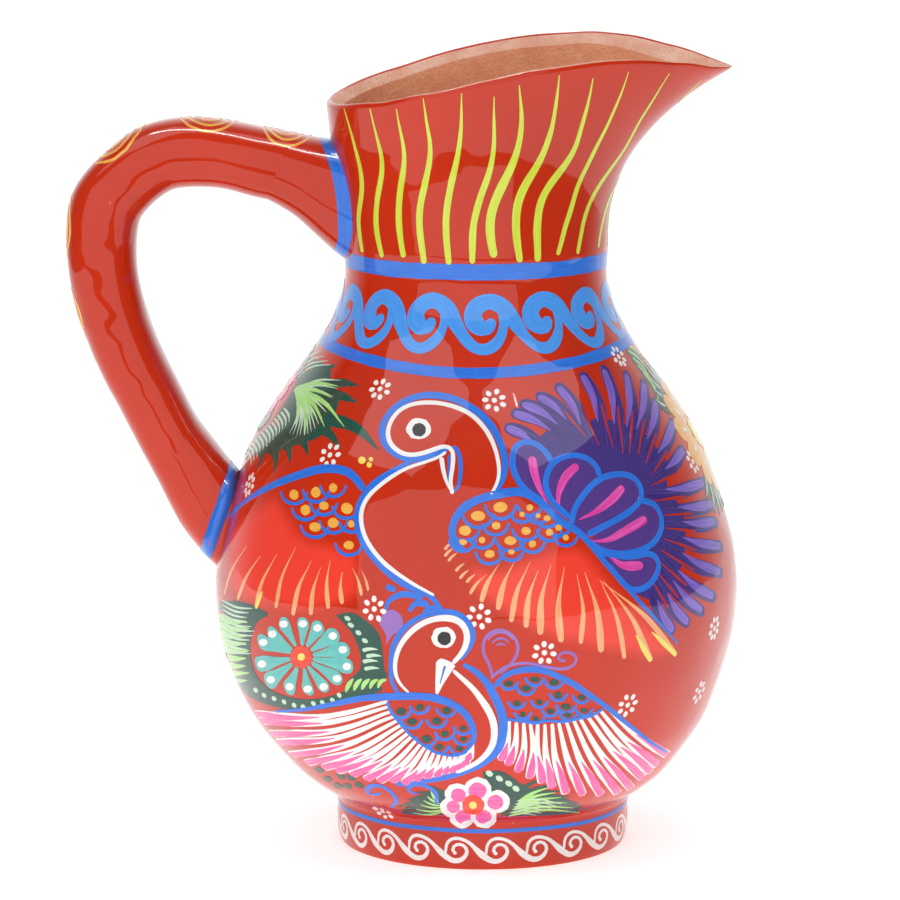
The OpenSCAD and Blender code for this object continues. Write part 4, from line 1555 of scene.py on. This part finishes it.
LEFT_LEAF = [
    (-77, 73), (-70, 73), (-62.5, 69.5), (-65.5, 67), (-67.5, 62), (-67.5, 56), (-65.5, 50.5),
    (-61, 46.3), (-54, 44), (-47, 44), (-40, 46), (-33.5, 50), (-28, 47), (-33, 44.5), (-42, 41.5),
    (-52, 40.5), (-62, 42), (-70, 46), (-76, 54),
]
RIGHT_LEAF = [
    (-42, 69), (-37, 69.7), (-32, 66.5), (-29, 63), (-28, 58), (-27.5, 53), (-26.5, 50.5), (-30, 49.5),
    (-38.5, 48.5), (-35, 52.5), (-34.5, 56), (-35.5, 60), (-37.5, 64),
]
LEFT_LEAF_DOTS = [
    (-66, 46.5), (-63.5, 45), (-60.5, 44), (-57.5, 43), (-54.5, 42), (-51.8, 41.5), (-48.7, 42.5),
    (-46, 42.8), (-43, 43.5), (-41, 45),
]


def paint_leaves(side):
    """The dark leaves round the turquoise flower with their pale veins."""
    at = side.canvas
    dark = side.brush("flower_leaves", "dark_green", 1)
    dark.area(at, LEFT_LEAF)
    dark.area(at, RIGHT_LEAF)
    pale = side.brush("flower_leaf_veins", "light_green", 2)
    for k in range(9):
        x, z = -68.6 + 0.6 * math.sin(2 * k), 49.5 + 2.2 * k
        pale.stroke(at, bowed((x, z), (-77.5, z + 1.6), 0.1), (0.3, 1.6, 2.4, 1.8))
    for k in range(5):
        pale.stroke(at, [(-39 + 2.4 * k, 46 + 0.3 * k), (-38.3 + 2.4 * k, 48 + 0.4 * k),
                         (-36.8 + 2.5 * k, 50 - 0.1 * k)], (0.5, 1.3, 1.3, 0.4))
    spots = side.brush("flower_leaf_spots", "pale_green", 3)
    for k in range(11):
        z = 57.5 + 1.35 * k
        spots.stroke(at, bowed((-67.6 - 1.2 * math.sin(k), z), (-76, z + 2.4), 0.1), (0.2, 0.7, 0.7, 0.3))
    for x, z in LEFT_LEAF_DOTS:
        spots.dot(at, x, z, 1.7, 1.2, -0.9)
    for x, z in ((-38.5, 68), (-37.5, 66), (-35.2, 63.7), (-33.3, 61.3)):
        spots.dot(at, x, z, 2.0, 1.3, -0.6)
    for x, z in ((-34, 58.5), (-33, 56.5), (-34, 54.9), (-33.5, 52.8)):
        spots.stroke(at, [(x, z), (x + 2.5, z + 0.6), (x + 4.6, z + 0.2)], (1.2, 1.0, 0.2))


SHOULDER_MASS = [
    (-49, 146), (-44, 143), (-43.5, 139.5), (-41, 135), (-42, 130), (-43, 126), (-47, 122.5), (-52, 120.5),
    (-57, 119), (-62, 117.5), (-68, 117), (-71, 117.5), (-67, 121), (-62, 126), (-58, 131.5),
    (-54.3, 138), (-51.5, 144.5),
]
SHOULDER_SPIKES = [
    (-42, 144), (-35.3, 137.8), (-35.7, 132.8), (-29.1, 118.6), (-40.7, 119), (-50.3, 116.9),
    (-55.7, 114.8), (-60.7, 111.5), (-65.7, 112.8), (-71.6, 114.8),
]
SHOULDER_VEINS = [
    (-40.7, 137.8), (-42.8, 134), (-38.6, 124.8), (-44.9, 124.8), (-48.6, 127.3), (-51.1, 122.3),
    (-54, 125.7),
]


def paint_shoulder_leaves(side):
    """The spiky leaf on the left shoulder with its veins, and the small one on the right."""
    at = side.canvas
    dark = side.brush("shoulder_leaf", "dark_green", 1)
    dark.area(at, SHOULDER_MASS)
    for k, (x, z) in enumerate(SHOULDER_SPIKES):
        root = (-49 - 1.8 * k, 139 - 1.9 * k)
        dark.stroke(at, bowed(between(root, (x, z), 0.35), (x, z), 0.12), (4.0, 4.0, 3.0, 1.8, 0.3))
    green = side.brush("shoulder_leaf_veins", "light_green", 3)
    pale = side.brush("shoulder_leaf_lights", "pale_green", 2)
    for k in range(15):
        x, z = -40.5 - 1.1 * k, 139.5 - 1.15 * k - 6.5 * math.sin(math.pi * k / 14)
        pale.stroke(at, bowed((-53.5, 137 - 0.3 * k), (x, z), 0.1), (0.6, 0.7, 0.6, 0.1))
    for tip in SHOULDER_VEINS:
        green.stroke(at, bowed((-54, 137), between((-54, 137), tip, 0.95), 0.1), (1.5, 1.6, 0.9, 0.15))
    for k in range(13):
        x, z = -57.5 - 0.95 * k, 131 - 1.05 * k
        pale.stroke(at, [(x, z), (x + 1.6, z - 2), (x + 1.3, z - 4.2)], (0.6, 0.8, 0.15))
    for k in range(5):
        pale.stroke(at, bowed((-54.5 + 0.6 * k, 139 + 1.2 * k), (-43.5 - 0.9 * k, 144 + 1.4 * k), 0.15),
                    (0.6, 0.8, 0.15))
    right = side.brush("right_shoulder_leaf", "dark_green", 0)
    for k in range(5):
        right.stroke(at, bowed((43.5 + 1.5 * k, 150.5 - 2.2 * k), (50 + 1.4 * k, 145.5 - 3.8 * k), 0.1),
                     (2.8, 3.6, 2.8, 0.3))
    hatch = side.brush("right_shoulder_veins", "light_green", 1)
    for k in range(5):
        hatch.stroke(at, bowed((44 + 1.5 * k, 150.5 - 2.2 * k), (49.5 + 1.4 * k, 146.5 - 3.6 * k), 0.1),
                     (0.9, 1.1, 0.2))


BOTTOM_LEFT_LEAF = [
    (-6, 9.5), (-14, 9), (-22, 9.5), (-21, 11.5), (-16, 14), (-10, 16.5), (-6, 14),
]
BOTTOM_RIGHT_LEAF = [
    (2, 22), (8, 22), (14, 18), (20, 15), (29, 13), (31, 10.5), (27, 9.3), (15, 8.8), (8, 9), (6, 12),
    (3, 17),
]
BOTTOM_LEFT_SPOTS = [
    (-47, 22.5), (-44.5, 19.8), (-40.5, 20.7), (-37.5, 20.2), (-35, 18), (-38.5, 17.7), (-41.5, 17.8),
]
BOTTOM_PETALS = [
    (0.5, 16, 5.4), (-5.3, 14.7, 4.5), (-6.8, 11.2, 4), (-3.9, 8.2, 4.6), (2.3, 8.2, 4.6), (5.8, 12.6, 4.8),
]


def paint_bottom_leaves(side):
    """The two leaves over the foot, with their veins."""
    at = side.canvas
    dark = side.brush("bottom_leaves", "dark_green", 1)
    dark.area(at, BOTTOM_LEFT_LEAF, step=1.4)
    dark.area(at, BOTTOM_RIGHT_LEAF, step=1.4)
    for k in range(6):
        dark.stroke(at, bowed((10 + k, 12), (20 + 2.8 * k, 20 - 1.9 * k), 0.1), (2.6, 2.6, 1.8, 0.3))
    for k in range(4):
        dark.stroke(at, bowed((-8, 13), (-15 - 2.8 * k, 18 - 2.2 * k), -0.1), (2.6, 2.6, 1.8, 0.3))
    for x, z in BOTTOM_LEFT_SPOTS:
        dark.dot(at, x, z, 3, 1.6, -0.4)
    pale = side.brush("bottom_leaf_veins", "light_green", 2)
    for k in range(6):
        pale.stroke(at, bowed((-8.5 - 0.6 * k, 10.5 + 0.5 * k), (-19 + 1.1 * k, 9.6 + 1.3 * k), 0.1),
                    (0.5, 1.2, 0.3))
    lights = side.brush("bottom_leaf_lights", "pale_green", 3)
    for k in range(6):
        tip = (31 - 1.8 * k, 9.8 + 1.5 * k)
        pale.stroke(at, bowed((10.2 + 0.5 * k, 9 + 0.8 * k), tip, 0.06), (1.2, 1.9, 1.1, 0.2))
        light = bowed((9.8 + 0.5 * k, 8.8 + 0.9 * k), (18 + 1.5 * k, 9 + 0.7 * k), 0.08)
        lights.stroke(at, light, (0.4, 0.6, 0.2))
    spots = side.brush("bottom_leaf_spots", "pale_green", 2)
    for x, z in ((4, 21.5), (7, 20), (9.8, 18.5), (12, 17)):
        spots.dot(at, x, z, 2.3, 1.6, -0.5)


def paint_bottom_flower(side):
    """The pink flower between the two leaves."""
    at = side.canvas
    rim = side.brush("bottom_flower_rim", "white", 3)
    pink = side.brush("bottom_flower_petals", "pink", 6)
    for x, z, w in BOTTOM_PETALS:
        rim.dot(at, x * 1.08, 12.4 + (z - 12) * 1.05, w + 2.8, w + 2.1)
        pink.dot(at, x, z + 0.4, w, 0.9 * w)
    side.brush("bottom_flower_heart", "scarlet", 7).dot(at, -0.9, 12.2, 6.6, 6.0)
    side.brush("bottom_flower_eye", "yellow", 8).dot(at, -0.9, 12.2, 2.3, 2.2)


DOT_FLOWERS = [
    (-28.8, 136.8), (5.5, 133.4), (-43.8, 117), (-68, 108), (-30.5, 70.8), (1, 68.5), (20.5, 57.7),
    (45.5, 42), (67, 46), (71.5, 65), (65, 115), (42.8, 146.5), (-28, 10),
]


def paint_dot_flowers(side):
    """The small white dot flowers all over the ground, and four yellow dots."""
    dots = side.brush("dot_flowers", "white", 2)
    for x, z in DOT_FLOWERS:
        spot = side.canvas(x, z)
        if spot is not None:
            dot_flower(dots, spot)
    yellow = side.brush("yellow_dots", "yellow", 2)
    for x, z, w in ((-34.2, 115.4, 2.2), (-31.5, 115.7, 1.3), (-32, 114, 1.6), (-75.5, 103.5, 1.6)):
        yellow.dot(side.canvas, x, z, w)


def dot_flower(brush, spot):
    """A ring of seven or eight dots round one more."""
    place = patch(spot, CHANCE.uniform(0, 3))
    count = CHANCE.choice((7, 8))
    for k in range(count):
        a = 2 * math.pi * k / count
        reach = CHANCE.uniform(2.5, 3.0)
        brush.dot(place, reach * math.cos(a), reach * math.sin(a), 1.9, 1.5, a)
    brush.dot(place, 0, 0, 1.6, 1.6)


def spoke(a, start, end, bow=0.0):
    """A path outwards at an angle, between two distances from a flower's middle."""
    c, s = math.cos(a), math.sin(a)
    path = [(c * start, s * start), (c * end, s * end)]
    return bowed(*path, bow) if bow else path


def paint_side_leaves(name, place, reach):
    """Spiky leaves over and under a side flower."""
    leaf = Brush(name + "_leaves", "dark_green", 1)
    vein = Brush(name + "_veins", "pale_green", 2)
    for k in range(18):
        a = math.radians((90 if k < 9 else 270) + 12 * (k % 9 - 4))
        far = reach * (1.4 + 0.1 * math.sin(5 * a))
        leaf.stroke(place, spoke(a, 0.8 * reach, far, 0.12), (3, 4.6, 3.6, 0.3))
        vein.stroke(place, spoke(a, reach, 0.95 * far, 0.12), (0.6, 1.0, 0.2))


def paint_side_flower(name, angle, z, paint, petals, reach, width):
    """A flower at the spout's or the handle's side, with its leaves."""
    place = patch(wrap(angle, z))
    paint_side_leaves(name, place, reach)
    petal = Brush(name + "_petals", paint, 3)
    light = Brush(name + "_lights", "white", 4)
    for k in range(petals):
        a = 2 * math.pi * k / petals
        petal.stroke(place, spoke(a, 0.3 * reach, reach), (0.4 * width, 0.8 * width, width, width))
        light.stroke(place, spoke(a, 0.5 * reach, 0.7 * reach), (0.3, 1.2, 1.4))
    Brush(name + "_heart", "yellow", 4).dot(place, 0, 0, 0.5 * reach)


# ---------------------------------------------------------------- handle paint


JOINT_BAND_ROW = 4          # the row of a coil, counted from the wall, that its band follows
JOINT_BAND_W = 4.3
TARGET_R = (14, 16)         # places for the handle's paint are sought from this far off its middle
ARC_START = 35              # where the arcs start along the strap, from its upper end
ARC_SPACING = 22            # between one group of arcs and the next
ARC_REACH = (7.4, 5.4, 3.4)     # how far the arcs of a group reach along the strap
ARC_WIDE = (1.6, 1.6, 1.6, 1.15, 1.15)  # each group's width across the strap, as a share of its reach


def paint_joint_band(name, coil, order):
    """The blue band round a coil, where the handle meets the wall."""
    row = coil[0][::order][JOINT_BAND_ROW]
    ring = [Vector((*row[j % STRAP_SIDES], j / STRAP_SIDES)) for j in range(STRAP_SIDES + 1)]
    Brush(name + "_joint_band", "blue", 2, Skin([coil])).ribbon(ring, width_of(JOINT_BAND_W), loop=True)


def paint_handle(grids):
    """The bands at the joints, and rows of arcs along the outer side of the strap."""
    skin = Skin(grids)
    paint_joint_band("upper", grids[1], 1)
    paint_joint_band("lower", grids[2], -1)
    path = [Vector((r[0], r[1])) for r in spline(STATIONS, spacing=1.0)]

    def over_top(s, across):
        """The place on the strap at a length along it and a distance from its outer middle."""
        i = min(max(int(s), 1), len(path) - 2)
        p = path[i].lerp(path[i + 1], s - int(s))
        v = (path[i + 1] - path[i - 1]).normalized()
        turn = across / HALF_W
        reach, wide = TARGET_R
        out = Vector((v.y * math.cos(turn) * reach, math.sin(turn) * wide, -v.x * math.cos(turn) * reach))
        return skin.nearest(Vector((p.x, 0, p.y)) + out)[0]

    ochre = Brush("handle_arcs", "orange", 2, skin)
    for k, wide in enumerate(ARC_WIDE):
        for reach in ARC_REACH:
            for start in (190, 10):
                bow = arc(ARC_START + ARC_SPACING * k, 0, reach, wide * reach, start, start + 160, 9)
                ochre.stroke(over_top, bow, (0.5, 1.0, 1.0, 0.5))


# ---------------------------------------------------------------- the whole pitcher

SIDE_PAINTING = (
    paint_flames, paint_big_wings, paint_tail_fan, paint_big_bird, paint_small_wings, paint_doodles,
    paint_small_bird, paint_leaves, paint_turquoise_flower, paint_shoulder_leaves, paint_bottom_leaves,
    paint_bottom_flower, paint_dot_flowers,
)

SHELL = Shell()
CLAY = clay_material()
make_shell_pieces(SHELL, CLAY)
make_base_slab(SHELL, CLAY)
OUTSIDE = slice(0, SHELL.mark["in_strip"] + 1)
SHELL_SKIN = Skin([(SHELL.rows[OUTSIDE], SHELL.normals[OUTSIDE])])
GRIP_GRIDS = make_handle(SHELL_SKIN, CLAY)

paint_bands()
paint_end_flames()
for half in (Side("front", 1), Side("back", -1)):
    for paint_part in SIDE_PAINTING:
        paint_part(half)
paint_side_flower("spout_flower", 84, 125, "orange", 11, 19, 8.5)
paint_side_flower("handle_flower", -90, 137, "pink", 10, 11, 5)
paint_handle(GRIP_GRIDS)
for one in BRUSHES:
    one.finish()


# ---------------------------------------------------------------- floor, light and world

FLOOR_SIZE = 1.8            # metres
FLOOR_GLOW = 0.58
LIGHT_AIM = Vector((0, 0, 0.12))    # the middle of the pitcher, in metres
TENT = 1.15                 # the brightness of the light tent behind the pitcher
ROOM = 0.12                 # the brightness of the room on the near side


def make_floor():
    """A pale table top that glows a little, as one under a light tent does."""
    n = Nodes("pale_floor")
    clouds = n.ramp(n.noise(n.place(), 6.0, 3.0), 0.3, 0.7)
    tone = n.mix(clouds, (0.93, 0.93, 0.93, 1.0), (0.95, 0.95, 0.95, 1.0))
    surface = n.add("ShaderNodeBsdfPrincipled", {"Base Color": tone, "Roughness": 0.9,
                                                 "Emission Color": (1.0, 1.0, 1.0, 1.0),
                                                 "Emission Strength": FLOOR_GLOW})
    bpy.ops.mesh.primitive_plane_add(size=FLOOR_SIZE, location=(0, 0, 0))
    floor = bpy.context.object
    floor.name = "pale_floor"
    floor.data.materials.append(n.finish(surface.outputs[0]))


def make_light(name, azimuth, elevation, distance, width, height, power, glints_only=False):
    """A softbox at an angle round the pitcher: azimuth 0 is the camera's side, positive to the right."""
    a, e = math.radians(azimuth), math.radians(elevation)
    toward = Vector((math.sin(a) * math.cos(e), -math.cos(a) * math.cos(e), math.sin(e)))
    data = bpy.data.lights.new(name, "AREA")
    data.shape = "RECTANGLE"
    data.size, data.size_y = width, height
    data.energy = power
    light = bpy.data.objects.new(name, data)
    light.location = LIGHT_AIM + toward * distance
    light.rotation_euler = (-toward).to_track_quat("-Z", "Y").to_euler()
    light.visible_diffuse = not glints_only
    bpy.context.scene.collection.objects.link(light)


def make_world():
    """A bright light tent behind the pitcher and a dim room on the near side."""
    world = bpy.data.worlds.new("light_tent")
    world.use_nodes = True
    tree = world.node_tree
    background = tree.nodes["Background"]
    background.inputs["Color"].default_value = (1.0, 1.0, 1.0, 1.0)
    place = tree.nodes.new("ShaderNodeTexCoord")
    split = tree.nodes.new("ShaderNodeSeparateXYZ")
    tree.links.new(place.outputs["Generated"], split.inputs[0])
    level = tree.nodes.new("ShaderNodeMapRange")
    level.interpolation_type = "SMOOTHSTEP"
    for key, value in (("From Min", 0.3), ("From Max", 0.96), ("To Min", ROOM), ("To Max", TENT)):
        level.inputs[key].default_value = value
    tree.links.new(split.outputs["Y"], level.inputs["Value"])
    tree.links.new(level.outputs["Result"], background.inputs["Strength"])
    bpy.context.scene.world = world


make_floor()
make_world()
make_light("left_softbox", -58, 62, 1.6, 1.1, 1.4, 8.0)
make_light("right_softbox", 58, 66, 1.6, 1.1, 1.2, 7.2)
make_light("front_panel", -10, 14, 1.9, 3.6, 1.4, 18)
make_light("top_strip", -25, 78, 1.5, 1.4, 0.12, 13, glints_only=True)
bpy.context.scene.view_settings.view_transform = "Standard"
